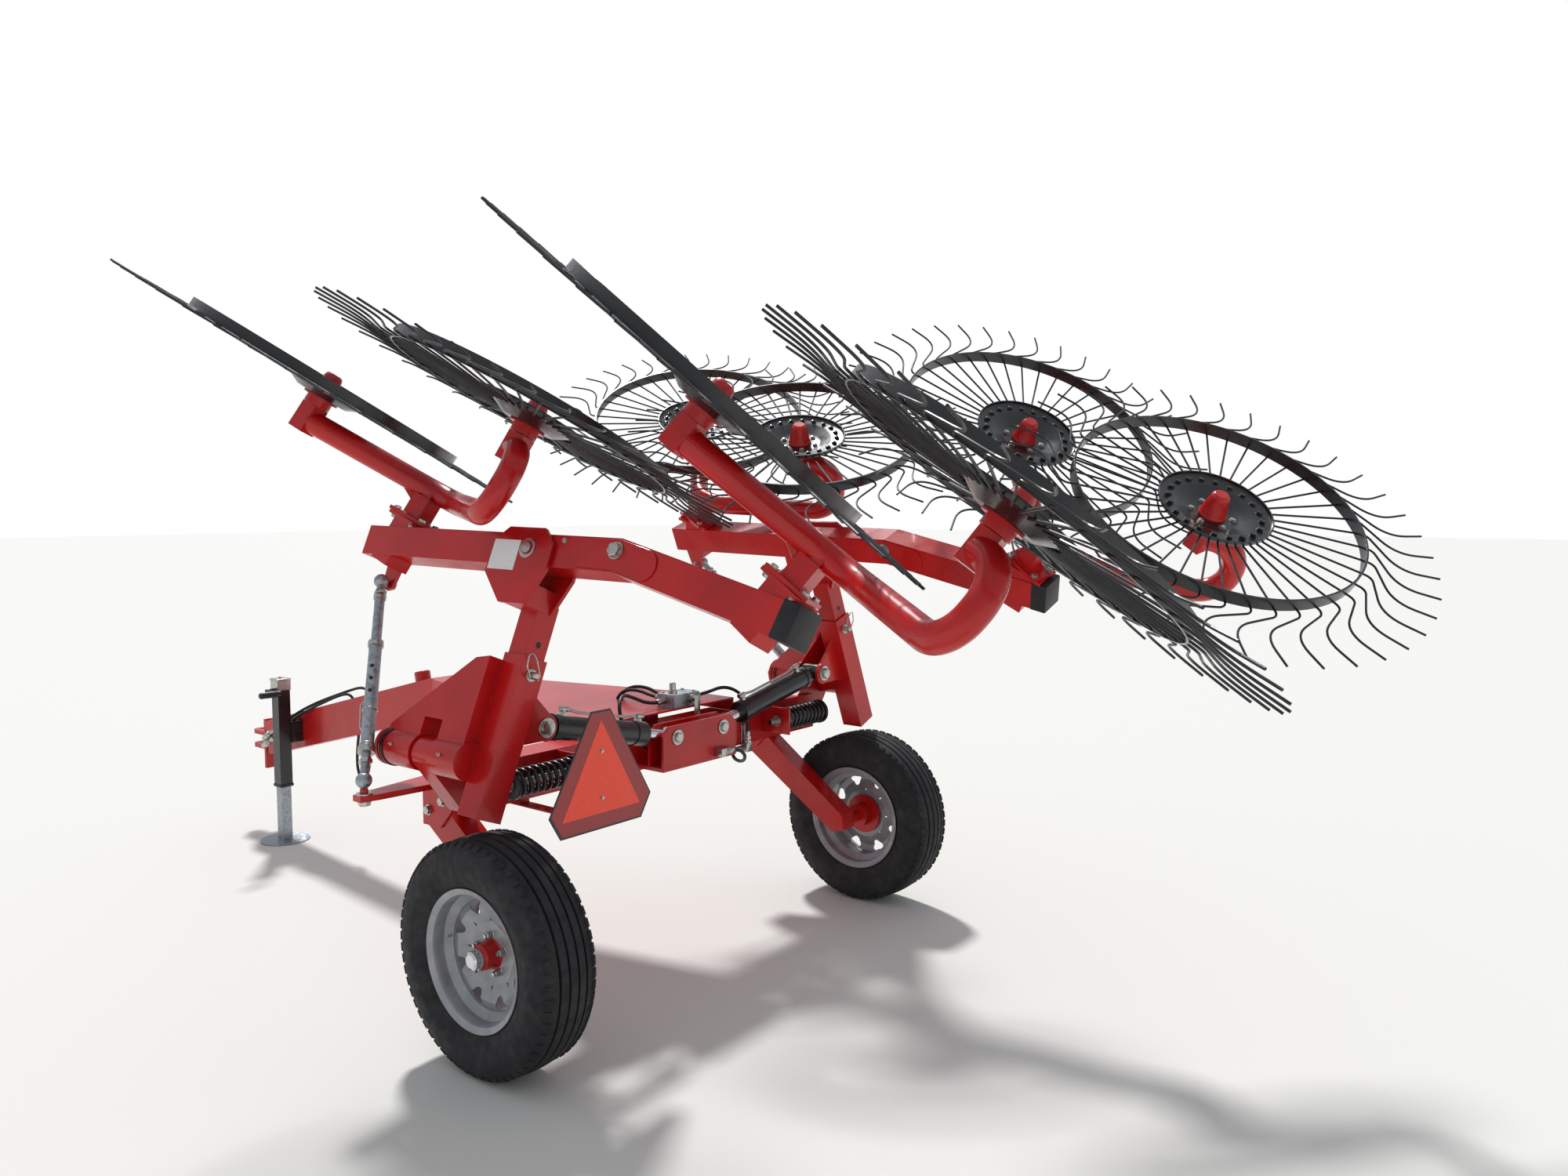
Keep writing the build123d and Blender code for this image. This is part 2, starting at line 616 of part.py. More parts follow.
def jack_leg():
    i = JACK_INNER / 2
    leg_tube = box(JACK_X - i, JACK_X + i, JACK_Y - i, JACK_Y + i, 5, JACK_LEG_TOP)
    foot = Pos(JACK_X, JACK_Y, 0) * Cylinder(JACK_FOOT / 2, 6, align=(C, C, MIN))
    return leg_tube + foot


def spring():
    y, z = SPRING_Y, SPRING_Z
    x0, x1 = SPRING_X
    coil = rod((x0 + 14, y, z), (x1 - 14, y, z), SPRING_R)
    cups = rod((x0, y, z), (x0 + 14, y, z), SPRING_R + 3) + rod((x1 - 14, y, z), (x1, y, z), SPRING_R + 3)
    stud = rod((x0 - 70, y, z), (x0, y, z), 10)
    bracket = box(x0 - 14, x0 - 2, y - 50, CROSS_Y[0] - 0.3, z - 52, z + 52)
    return coil + cups + stud + bracket


def sign():
    w, h = SIGN_W / 2, SIGN_H / 2
    x, y, z = SIGN_POS
    tip = 38
    outline = [
        (x - tip, z + h), (x + tip, z + h), (x + w, z - h + 70), (x + w - 42, z - h),
        (x - w + 42, z - h), (x - w, z - h + 70),
    ]
    plate = slab_y(outline, y, y + 3)
    return plate


def sign_bracket():
    x, y, z = SIGN_POS
    post = box(x - 20, x + 20, y + 3.3, y + 9, 690, z + 100)
    arm_bar = box(x - 20, x + 20, y + 3.3, CROSS_Y[0] + 60, 684, 690)
    return post + arm_bar + box(x - 20, x + 20, CROSS_Y[0] + 2, CROSS_Y[0] + 60, 690, CROSS_Z[0] - 0.3)


def valve_block():
    """Flow valve on the deck's rear edge, with its ports and lever left to the surface."""
    x0, x1, y0, y1, height = VALVE
    top = DRAWBAR_Z + DRAWBAR_H / 2 + DECK_T + 0.3
    return box(x0, x1, y0, y1, top, top + height)


# Assembly: node name to solid, right side built first and mirrored to the left

def assemble():
    nodes = {
        "main_frame": main_frame(),
        "drawbar": drawbar(),
        "deck": deck(),
        "hitch": hitch(),
        "jack_housing": jack_housing(),
        "jack_leg": jack_leg(),
        "sign": sign(),
        "sign_bracket": sign_bracket(),
        "anchor_rear": anchor_plate(-1),
        "anchor_front": anchor_plate(1),
        "valve_block": valve_block(),
    }
    right = {
        "leg": leg(),
        "spring": spring(),
        "arm": ARM * arm(),
        "head": ARM * head(),
        "beam": BEAM_FRAME * beam(),
        "link": link(),
        "barrel": barrel(),
        "piston_rod": piston_rod(),
        "tyre": WHEEL_OUT * tyre(),
        "rim": WHEEL_OUT * rim(),
        "road_hub": WHEEL_OUT * hub(),
    }
    rocker_solid, wheel_solid, hub_solid = rocker(), rake_wheel(), rake_hub()
    for where in SOCKETS:
        rest = rocker_frame(where).location
        right[f"rocker_{where}"] = rest * rocker_solid
        for number, (place, end, height) in WHEELS.items():
            if place == where:
                centre = rest * wheel_place(end, height)
                right[f"rake_wheel_{number}"] = centre * wheel_solid
                right[f"rake_hub_{number}"] = centre * hub_solid
    for name, solid in right.items():
        nodes[f"{name}_right"] = solid
        nodes[f"{name}_left"] = mirror(solid, Plane.YZ)
    return nodes


def main():
    nodes = assemble()
    boxes = [solid.bounding_box() for solid in nodes.values()]
    low = [min(getattr(b.min, a) for b in boxes) for a in "XYZ"]
    high = [max(getattr(b.max, a) for b in boxes) for a in "XYZ"]
    shift = Vector(-(low[0] + high[0]) / 2, -(low[1] + high[1]) / 2, -low[2])
    os.makedirs("parts", exist_ok=True)
    for name, solid in nodes.items():
        export_step(Pos(shift) * solid, f"parts/{name}.step")
    print("overall", [round(h - l, 1) for l, h in zip(low, high)], "shift", shift)
    return shift


SHIFT = main()
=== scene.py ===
import json
from math import cos, pi, radians, sin, tan
import bmesh
import bpy
from mathutils import Matrix, Vector


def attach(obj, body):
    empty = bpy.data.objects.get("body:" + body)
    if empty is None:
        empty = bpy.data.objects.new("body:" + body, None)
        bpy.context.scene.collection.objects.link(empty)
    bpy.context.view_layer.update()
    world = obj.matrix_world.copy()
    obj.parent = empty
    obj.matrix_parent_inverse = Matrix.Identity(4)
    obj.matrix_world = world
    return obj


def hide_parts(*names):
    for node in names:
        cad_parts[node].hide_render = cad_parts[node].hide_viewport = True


# Folded V rake: the CAD frame gets its tined wheels, tyres, springs, hoses, fasteners and finishes

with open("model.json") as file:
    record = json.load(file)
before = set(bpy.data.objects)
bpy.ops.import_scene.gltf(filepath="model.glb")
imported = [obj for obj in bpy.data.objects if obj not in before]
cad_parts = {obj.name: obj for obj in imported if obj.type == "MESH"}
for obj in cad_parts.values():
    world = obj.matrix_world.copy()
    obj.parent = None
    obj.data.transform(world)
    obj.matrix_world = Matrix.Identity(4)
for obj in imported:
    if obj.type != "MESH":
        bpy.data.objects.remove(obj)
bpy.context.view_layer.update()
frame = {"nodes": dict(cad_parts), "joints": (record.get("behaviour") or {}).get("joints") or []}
joints = {j["name"]: j for j in frame["joints"]}
sides = {"right": 1, "left": -1}
print("frame loaded:", len(frame["nodes"]), "nodes")


# Colours are written as sRGB hex and turned to linear here

def linear(code):
    parts = [int(code[i:i + 2], 16) / 255 for i in (1, 3, 5)]
    return tuple(c / 12.92 if c < 0.04045 else ((c + 0.055) / 1.055) ** 2.4 for c in parts) + (1,)


# Material building: one function adds a node with its settings and links

def addNode(tree, kind, settings=None, inputs=None):
    node = tree.nodes.new(kind)
    for key, value in (settings or {}).items():
        setattr(node, key, value)
    for key, value in (inputs or {}).items():
        if isinstance(value, bpy.types.NodeSocket):
            tree.links.new(value, node.inputs[key])
        else:
            node.inputs[key].default_value = value
    return node


def startMaterial(name, metallic, roughness, **more):
    material = bpy.data.materials.new(name)
    material.use_nodes = True
    tree = material.node_tree
    shader = tree.nodes["Principled BSDF"]
    shader.inputs["Metallic"].default_value = metallic
    shader.inputs["Roughness"].default_value = roughness
    for key, value in more.items():
        shader.inputs[key.replace("_", " ")].default_value = value
    place = addNode(tree, "ShaderNodeTexCoord").outputs["Object"]
    return material, tree, shader, place


def noiseAt(tree, place, millimetres, detail=3.0, rough=0.5):
    scale = 1000 / millimetres
    inputs = {"Vector": place, "Scale": scale, "Detail": detail, "Roughness": rough}
    return addNode(tree, "ShaderNodeTexNoise", None, inputs).outputs["Fac"]


def ramp(tree, factor, stops):
    node = addNode(tree, "ShaderNodeValToRGB", None, {"Fac": factor})
    while len(node.color_ramp.elements) < len(stops):
        node.color_ramp.elements.new(0.5)
    for element, (position, code) in zip(node.color_ramp.elements, stops):
        element.position = position
        element.color = linear(code)
    return node.outputs["Color"]


def span(tree, factor, low, high, fromLow=0.3, fromHigh=0.7):
    inputs = {"Value": factor, "From Min": fromLow, "From Max": fromHigh, "To Min": low, "To Max": high}
    return addNode(tree, "ShaderNodeMapRange", None, inputs).outputs["Result"]


def roundedBump(tree, height, strength, millimetres, edge):
    inputs = {"Height": height, "Strength": strength, "Distance": millimetres / 1000}
    if edge:
        soft = addNode(tree, "ShaderNodeBevel", {"samples": 4}, {"Radius": edge / 1000})
        inputs["Normal"] = soft.outputs["Normal"]
    return addNode(tree, "ShaderNodeBump", None, inputs).outputs["Normal"]


def redPowderCoat():
    # gloss powder coat on welded steel: even red, slight orange peel about 3 mm across, edges softened
    coat = {"body": "#BC1213", "shade": "#A30E10", "light": "#CB1A17"}
    material, tree, shader, place = startMaterial("redPowderCoat", 0, 0.28, Coat_Weight=0.25,
                                                  Coat_Roughness=0.1, Specular_IOR_Level=0.35)
    broad = noiseAt(tree, place, 320, 4)
    stops = [(0.3, coat["shade"]), (0.5, coat["body"]), (0.72, coat["light"])]
    tree.links.new(ramp(tree, broad, stops), shader.inputs["Base Color"])
    tree.links.new(span(tree, noiseAt(tree, place, 90, 5), 0.22, 0.38), shader.inputs["Roughness"])
    peel = roundedBump(tree, noiseAt(tree, place, 3, 1), 0.12, 0.4, 2.5)
    tree.links.new(peel, shader.inputs["Normal"])
    return material


def blackPaint():
    # glossy black enamel on pressed steel
    material, tree, shader, place = startMaterial("blackEnamel", 0, 0.3, Coat_Weight=0.3, Coat_Roughness=0.15)
    stops = [(0.3, "#0B0B0D"), (0.7, "#17181B")]
    tree.links.new(ramp(tree, noiseAt(tree, place, 120, 5), stops), shader.inputs["Base Color"])
    tree.links.new(span(tree, noiseAt(tree, place, 45, 5), 0.2, 0.42), shader.inputs["Roughness"])
    tree.links.new(roundedBump(tree, noiseAt(tree, place, 4, 2), 0.1, 0.3, 1.5), shader.inputs["Normal"])
    return material


def tineBlack():
    # spring wire dipped in black paint, thin enough to catch grey light along its length
    material, tree, shader, place = startMaterial("paintedSpringWire", 0.15, 0.34)
    stops = [(0.35, "#121315"), (0.65, "#24262A")]
    tree.links.new(ramp(tree, noiseAt(tree, place, 60, 4), stops), shader.inputs["Base Color"])
    tree.links.new(span(tree, noiseAt(tree, place, 25, 4), 0.25, 0.5), shader.inputs["Roughness"])
    return material


def galvanised():
    # hot dipped zinc: dull grey with spangle patches about 12 mm across
    material, tree, shader, place = startMaterial("galvanisedSteel", 0.85, 0.42)
    cells = addNode(tree, "ShaderNodeTexVoronoi", None, {"Vector": place, "Scale": 1000 / 12})
    patch = addNode(tree, "ShaderNodeSeparateColor", None, {"Color": cells.outputs["Color"]}).outputs["Red"]
    tree.links.new(ramp(tree, patch, [(0.0, "#8B9298"), (1.0, "#B4BBC0")]), shader.inputs["Base Color"])
    tree.links.new(span(tree, patch, 0.34, 0.56, 0, 1), shader.inputs["Roughness"])
    tree.links.new(roundedBump(tree, noiseAt(tree, place, 6, 4), 0.15, 0.3, 1.0), shader.inputs["Normal"])
    return material


def zincPlate():
    # bright zinc plated fasteners and fittings
    material, tree, shader, place = startMaterial("zincPlate", 1.0, 0.3)
    stops = [(0.3, "#A7A8A4"), (0.7, "#C9C8C0")]
    tree.links.new(ramp(tree, noiseAt(tree, place, 8, 3), stops), shader.inputs["Base Color"])
    tree.links.new(roundedBump(tree, noiseAt(tree, place, 1.5, 2), 0.1, 0.1, 0.6), shader.inputs["Normal"])
    return material


def hardChrome():
    # ground and chromed piston rod
    material, tree, shader, place = startMaterial("hardChrome", 1.0, 0.08)
    shader.inputs["Base Color"].default_value = linear("#D4D6D8")
    tree.links.new(span(tree, noiseAt(tree, place, 5, 2), 0.05, 0.14), shader.inputs["Roughness"])
    return material


def rimSilver():
    # silver wheel paint with road dust towards the well
    material, tree, shader, place = startMaterial("silverWheelPaint", 0.35, 0.38)
    stops = [(0.3, "#8E9094"), (0.7, "#A6A8AB")]
    tree.links.new(ramp(tree, noiseAt(tree, place, 60, 5), stops), shader.inputs["Base Color"])
    tree.links.new(span(tree, noiseAt(tree, place, 20, 4), 0.3, 0.5), shader.inputs["Roughness"])
    tree.links.new(roundedBump(tree, noiseAt(tree, place, 3, 2), 0.08, 0.2, 1.5), shader.inputs["Normal"])
    return material


def tyreRubber():
    # weathered black rubber with grey dust in patches about 70 mm across
    material, tree, shader, place = startMaterial("tyreRubber", 0, 0.78)
    stops = [(0.35, "#17171A"), (0.55, "#1F1F22"), (0.75, "#33312F")]
    tree.links.new(ramp(tree, noiseAt(tree, place, 70, 6, 0.6), stops), shader.inputs["Base Color"])
    tree.links.new(span(tree, noiseAt(tree, place, 30, 4), 0.66, 0.9), shader.inputs["Roughness"])
    tree.links.new(roundedBump(tree, noiseAt(tree, place, 2.5, 3), 0.2, 0.3, 0), shader.inputs["Normal"])
    return material


def hoseRubber():
    # synthetic rubber hydraulic hose cover
    material, tree, shader, place = startMaterial("hoseRubber", 0, 0.5)
    stops = [(0.3, "#0E0E10"), (0.7, "#1B1B1E")]
    tree.links.new(ramp(tree, noiseAt(tree, place, 30, 3), stops), shader.inputs["Base Color"])
    tree.links.new(roundedBump(tree, noiseAt(tree, place, 1.5, 2), 0.15, 0.15, 0), shader.inputs["Normal"])
    return material


def sheetFilm(name, dark, light, roughness):
    # retroreflective or fluorescent sheet on aluminium, with fine cells about 4 mm across
    material, tree, shader, place = startMaterial(name, 0, roughness, Coat_Weight=0.4)
    grain = addNode(tree, "ShaderNodeTexVoronoi", None, {"Vector": place, "Scale": 1000 / 4})
    cells = grain.outputs["Distance"]
    tree.links.new(ramp(tree, cells, [(0.2, dark), (0.8, light)]), shader.inputs["Base Color"])
    tree.links.new(roundedBump(tree, cells, 0.06, 0.1, 0), shader.inputs["Normal"])
    return material


paints = {
    "red": redPowderCoat(), "black": blackPaint(), "tine": tineBlack(), "galvanised": galvanised(),
    "zinc": zincPlate(), "chrome": hardChrome(), "rim": rimSilver(), "tyre": tyreRubber(),
    "hose": hoseRubber(),
    "signOrange": sheetFilm("fluorescentSheet", "#F2330A", "#FF4210", 0.4),
    "signRed": sheetFilm("reflectiveRedSheet", "#8E0E12", "#A31519", 0.3),
    "labelWhite": sheetFilm("whiteLabelFilm", "#DADBDA", "#E8E9E8", 0.45),
    "brass": sheetFilm("yellowLeverGrip", "#B58A1C", "#C79A24", 0.4),
}
print("materials ready:", len(paints))


# Mesh building

def linked(name, data):
    thing = bpy.data.objects.new(name, data)
    bpy.context.scene.collection.objects.link(thing)
    return thing


def finishPiece(name, mesh, paint, body, sharp=35, replacing=()):
    for code in ([paint] if isinstance(paint, str) else paint):
        if paints[code].name not in mesh.materials:
            mesh.materials.append(paints[code])
    mesh.shade_smooth()
    mesh.set_sharp_from_angle(angle=radians(sharp))
    piece = linked(name, mesh)
    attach(piece, body)
    if replacing:
        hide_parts(*replacing)
    return piece


def meshFrom(bm, name, place=Matrix()):
    mesh = bpy.data.meshes.new(name)
    bm.to_mesh(mesh)
    return placed(mesh, place)


def placed(mesh, place, name=None):
    mesh.transform(place)
    if place.determinant() < 0:
        mesh.flip_normals()
    if name:
        mesh.name = name
    return mesh


def lathe(bm, profile, segments=48, place=Matrix(), closed=False, materialIndex=0):
    # profile is radius and height; a radius of 0 is a pole
    rings = []
    for radius, height in profile:
        if radius < 1e-6:
            rings.append([bm.verts.new(place @ Vector((0, 0, height)))])
        else:
            ring = []
            for i in range(segments):
                turn = 2 * pi * i / segments
                ring.append(bm.verts.new(place @ Vector((radius * cos(turn), radius * sin(turn), height))))
            rings.append(ring)
    pairs = list(zip(rings, rings[1:] + rings[:1])) if closed else list(zip(rings, rings[1:]))
    made = []
    for low, high in pairs:
        for i in range(segments):
            j = (i + 1) % segments
            corners = [low[i % len(low)], low[j % len(low)], high[j % len(high)], high[i % len(high)]]
            unique = list(dict.fromkeys(corners))
            if len(unique) > 2:
                made.append(bm.faces.new(unique))
    for face in made:
        face.material_index = materialIndex
    return made


def block(bm, size, place=Matrix(), round_=0.0):
    made = bmesh.ops.create_cube(bm, size=1, matrix=place @ Matrix.Diagonal((*size, 1)))
    if round_:
        edges = list({e for v in made["verts"] for e in v.link_edges})
        bmesh.ops.bevel(bm, geom=edges, offset=round_, segments=2, affect="EDGES", profile=0.5)


def platePiece(bm, outline, thickness, place=Matrix(), round_=0.0):
    # outline in the local XY plane, thickness along local Z, centred
    low = [bm.verts.new(place @ Vector((x, y, -thickness / 2))) for x, y in outline]
    high = [bm.verts.new(place @ Vector((x, y, thickness / 2))) for x, y in outline]
    count = len(outline)
    faces = [bm.faces.new(high), bm.faces.new(list(reversed(low)))]
    for i in range(count):
        j = (i + 1) % count
        faces.append(bm.faces.new([low[i], low[j], high[j], high[i]]))
    if round_:
        edges = [e for e in faces[0].edges] + [e for e in faces[1].edges]
        bmesh.ops.bevel(bm, geom=edges, offset=round_, segments=1, affect="EDGES")


def alongAxis(start, direction):
    # matrix whose Z runs from start along direction
    z = Vector(direction).normalized()
    x = z.orthogonal().normalized()
    y = z.cross(x)
    turn = Matrix((x, y, z)).transposed().to_4x4()
    return Matrix.Translation(Vector(start)) @ turn


def hexBolt(bm, start, direction, size, washer=True):
    # head, washer and domed end of a bolt; size is the thread diameter
    place = alongAxis(start, direction)
    base = 0.0
    if washer:
        lathe(bm, [(0, 0), (size * 1.1, 0), (size * 1.1, size * 0.16), (0, size * 0.16)], 20, place)
        base = size * 0.16
    high = base + size * 0.65
    lathe(bm, [(0, base), (size * 0.86, base), (size * 0.92, base + size * 0.06),
               (size * 0.92, high - size * 0.1), (size * 0.78, high), (0, high)], 6, place)


def fixNormals(bm):
    bmesh.ops.recalc_face_normals(bm, faces=bm.faces)


def built(name, build, paint=None, fix=True, place=Matrix()):
    # mesh from a function that fills a bmesh, with its paint where it has one of its own
    bm = bmesh.new()
    build(bm)
    if fix:
        fixNormals(bm)
    mesh = meshFrom(bm, name, place)
    bm.free()
    if paint:
        mesh.materials.append(paints[paint])
    return mesh


# Geometry Nodes trees: wire along a path, copies round an axis, and a coil

def newTree(name, inputs):
    tree = bpy.data.node_groups.new(name, "GeometryNodeTree")
    tree.interface.new_socket("Geometry", in_out="INPUT", socket_type="NodeSocketGeometry")
    for label, kind, value in inputs:
        socket = tree.interface.new_socket(label, in_out="INPUT", socket_type=kind)
        if value is not None:
            socket.default_value = value
    tree.interface.new_socket("Geometry", in_out="OUTPUT", socket_type="NodeSocketGeometry")
    source = tree.nodes.new("NodeGroupInput")
    sink = tree.nodes.new("NodeGroupOutput")
    return tree, source, sink


def closeTree(tree, sink, geometry, source):
    real = addNode(tree, "GeometryNodeRealizeInstances", None, {"Geometry": geometry}).outputs["Geometry"]
    inputs = {"Geometry": real, "Material": source.outputs["Material"]}
    coloured = addNode(tree, "GeometryNodeSetMaterial", None, inputs).outputs["Geometry"]
    tree.links.new(coloured, sink.inputs["Geometry"])
    return tree


def aroundAxis(tree, source, geometry):
    # copies of geometry at even turns about Z
    count = source.outputs["Count"]
    points = addNode(tree, "GeometryNodeMeshLine", None, {"Count": count, "Offset": (0, 0, 0)})
    index = addNode(tree, "GeometryNodeInputIndex").outputs["Index"]
    step = addNode(tree, "ShaderNodeMath", {"operation": "DIVIDE"}, {0: 2 * pi, 1: count})
    turn = addNode(tree, "ShaderNodeMath", {"operation": "MULTIPLY"}, {0: index, 1: step.outputs[0]})
    both = {0: turn.outputs[0], 1: source.outputs["Start"]}
    shifted = addNode(tree, "ShaderNodeMath", {"operation": "ADD"}, both)
    spin = addNode(tree, "ShaderNodeCombineXYZ", None, {"Z": shifted.outputs[0]})
    inputs = {"Points": points.outputs["Mesh"], "Instance": geometry, "Rotation": spin.outputs[0]}
    return addNode(tree, "GeometryNodeInstanceOnPoints", None, inputs).outputs["Instances"]


def wireAroundTree():
    inputs = [("Material", "NodeSocketMaterial", None), ("Count", "NodeSocketInt", 1),
              ("Start", "NodeSocketFloat", 0.0), ("Wire Radius", "NodeSocketFloat", 0.0035),
              ("Bend Radius", "NodeSocketFloat", 0.02), ("Bend Steps", "NodeSocketInt", 4),
              ("Wire Sides", "NodeSocketInt", 8)]
    tree, source, sink = newTree("wireAround", inputs)
    path = addNode(tree, "GeometryNodeMeshToCurve", None, {"Mesh": source.outputs["Geometry"]})
    bent = addNode(tree, "GeometryNodeFilletCurve", {"mode": "POLY"},
                   {"Curve": path.outputs["Curve"], "Count": source.outputs["Bend Steps"],
                    "Radius": source.outputs["Bend Radius"], "Limit Radius": True})
    ring = addNode(tree, "GeometryNodeCurvePrimitiveCircle", None,
                   {"Resolution": source.outputs["Wire Sides"], "Radius": source.outputs["Wire Radius"]})
    inputs = {"Curve": bent.outputs["Curve"], "Profile Curve": ring.outputs["Curve"], "Fill Caps": True}
    wire = addNode(tree, "GeometryNodeCurveToMesh", None, inputs).outputs["Mesh"]
    return closeTree(tree, sink, aroundAxis(tree, source, wire), source)


def copiesAroundTree():
    inputs = [("Material", "NodeSocketMaterial", None), ("Count", "NodeSocketInt", 1),
              ("Start", "NodeSocketFloat", 0.0)]
    tree, source, sink = newTree("copiesAround", inputs)
    return closeTree(tree, sink, aroundAxis(tree, source, source.outputs["Geometry"]), source)


def coilTree():
    inputs = [("Material", "NodeSocketMaterial", None), ("Turns", "NodeSocketFloat", 8.0),
              ("Length", "NodeSocketFloat", 0.2), ("Coil Radius", "NodeSocketFloat", 0.04),
              ("Wire Radius", "NodeSocketFloat", 0.006)]
    tree, source, sink = newTree("coil", inputs)
    path = addNode(tree, "GeometryNodeCurveSpiral", None, {
        "Resolution": 28, "Rotations": source.outputs["Turns"], "Start Radius": source.outputs["Coil Radius"],
        "End Radius": source.outputs["Coil Radius"], "Height": source.outputs["Length"]}).outputs["Curve"]
    ring = addNode(tree, "GeometryNodeCurvePrimitiveCircle", None,
                   {"Resolution": 12, "Radius": source.outputs["Wire Radius"]})
    inputs = {"Curve": path, "Profile Curve": ring.outputs["Curve"], "Fill Caps": True}
    wire = addNode(tree, "GeometryNodeCurveToMesh", None, inputs).outputs["Mesh"]
    return closeTree(tree, sink, wire, source)


trees = {"wire": wireAroundTree(), "copies": copiesAroundTree(), "coil": coilTree()}


def grown(mesh, treeName, values, name):
    # runs a tree on a mesh and gives the plain mesh that it makes
    tree = trees[treeName]
    holder = linked("holder", mesh)
    modifier = holder.modifiers.new("shape", "NODES")
    modifier.node_group = tree
    for item in tree.interface.items_tree:
        if getattr(item, "in_out", "") == "INPUT" and item.name in values:
            modifier[item.identifier] = values[item.name]
    bpy.context.view_layer.update()
    graph = bpy.context.evaluated_depsgraph_get()
    result = bpy.data.meshes.new_from_object(holder.evaluated_get(graph))
    holder.modifiers.remove(modifier)
    bpy.data.objects.remove(holder)
    result.name = name
    return result


def pathMesh(points, name):
    mesh = bpy.data.meshes.new(name)
    mesh.from_pydata([tuple(p) for p in points], [(i, i + 1) for i in range(len(points) - 1)], [])
    return mesh


def joined(meshes, name):
    # one mesh from several, keeping each one's materials
    bm = bmesh.new()
    materials = []
    for mesh in meshes:
        first = len(bm.faces)
        bm.from_mesh(mesh)
        bm.faces.ensure_lookup_table()
        own = [m for m in mesh.materials]
        for m in own:
            if m not in materials:
                materials.append(m)
        for face in bm.faces[first:]:
            if own:
                face.material_index = materials.index(own[face.material_index])
    result = bpy.data.meshes.new(name)
    bm.to_mesh(result)
    bm.free()
    for m in materials:
        result.materials.append(m)
    return result


# Frames of the moving parts, read from the CAD joints of the right side and mirrored for the left

mirrorX = Matrix.Scale(-1, 4, Vector((1, 0, 0)))
hinge = {"alongY": 0.25}
foldPlace = Vector(joints["arm_right_fold"]["pos_m"])
beamOut = Vector(joints["beam_right_swing"]["axis"]).normalized()
armOut = Vector((beamOut.x, 0, beamOut.z)).normalized()
armUp = Vector((-armOut.z, 0, armOut.x))
alongY = foldPlace.y - hinge["alongY"]
armFrame = Matrix.Translation((foldPlace.x, alongY, foldPlace.z)) @ Matrix(
    (armOut, Vector((0, 1, 0)), armUp)).transposed().to_4x4()
beamFrame = Matrix.Translation(Vector(joints["beam_right_swing"]["pos_m"])) @ Matrix(
    (beamOut, armUp.cross(beamOut), armUp)).transposed().to_4x4()
machineFrame = Matrix.Translation((0, alongY, 0))


def onSide(place, side):
    return place if side == "right" else mirrorX @ place


def jointFrame(name, xHint):
    joint = joints[name]
    z = Vector(joint["axis"]).normalized()
    x = (Vector(xHint) - z * Vector(xHint).dot(z)).normalized()
    y = z.cross(x)
    return Matrix.Translation(Vector(joint["pos_m"])) @ Matrix((x, y, z)).transposed().to_4x4()


def wheelCentre(number):
    return Vector(joints[f"rake_wheel_{number}_right_spin"]["pos_m"])


def rockerFrame(where):
    # x out, y towards the leading wheel, z up the socket's axis, origin on the beam's centre line
    joint = joints[f"rocker_{where}_right_float"]
    first = {"front": 1, "rear": 3}[where]
    along = wheelCentre(first) - wheelCentre(first + 1)
    z = Vector(joint["axis"]).normalized()
    y = (along - z * along.dot(z)).normalized()
    origin = Vector(joint["pos_m"]) - z * socket["top"]
    return Matrix.Translation(origin) @ Matrix((y.cross(z), y, z)).transposed().to_4x4()


socket = {"top": 0.080, "flangeLong": 0.150, "flangeWide": 0.110, "flange": 0.012, "gap": 0.001,
          "boltInLong": 0.018, "boltInWide": 0.016, "bolt": 0.012}


# Rake wheels

rakeWheel = {
    "tines": 40, "tipRadius": 0.697, "tipBack": 0.004, "wireRadius": 0.0034, "wireSides": 8,
    "rootRadius": 0.140, "knee": 0.492, "sweepOut": 0.545, "sweep": 0.165, "tipSweep": 0.170, "bend": 0.030,
    "cornerCut": 0.068, "cornerSteps": 7, "lip": 0.012, "segments": 96,
    "hoopRadius": 0.455, "hoopThick": 0.006, "hoopBack": 0.006, "hoopFront": 0.034,
    "dishRadius": 0.182, "dishFlat": 0.130, "dishFloor": 0.080, "dishDepth": 0.024, "sheet": 0.005,
    "bore": 0.045, "outerBolts": 20, "outerBoltRadius": 0.147, "innerBolts": 6, "innerBoltRadius": 0.066,
    "boltSize": 0.010, "boltStart": 0.08, "turnEach": 3.1,
}


def tinePath():
    # from the root behind the dish to the knee, swept to a soft corner, and out to the tip
    w = rakeWheel
    tipOut = (w["tipRadius"] ** 2 - w["tipSweep"] ** 2) ** 0.5 - w["tipBack"]
    bends = ((w["knee"], 0), (w["sweepOut"], -w["sweep"]), (tipOut, -w["tipSweep"]))
    knee, corner, tip = [Vector((x, y, 0)) for x, y in bends]
    before = corner + (knee - corner).normalized() * w["cornerCut"]
    after = corner + (tip - corner).normalized() * w["cornerCut"]
    curved = []
    for i in range(w["cornerSteps"] + 1):
        t = i / w["cornerSteps"]
        curved.append(before * (1 - t) ** 2 + corner * 2 * t * (1 - t) + after * t ** 2)
    root = Vector((w["rootRadius"], 0, -w["sheet"] - w["wireRadius"]))
    return [tuple(point) for point in [root, knee] + curved + [tip]]


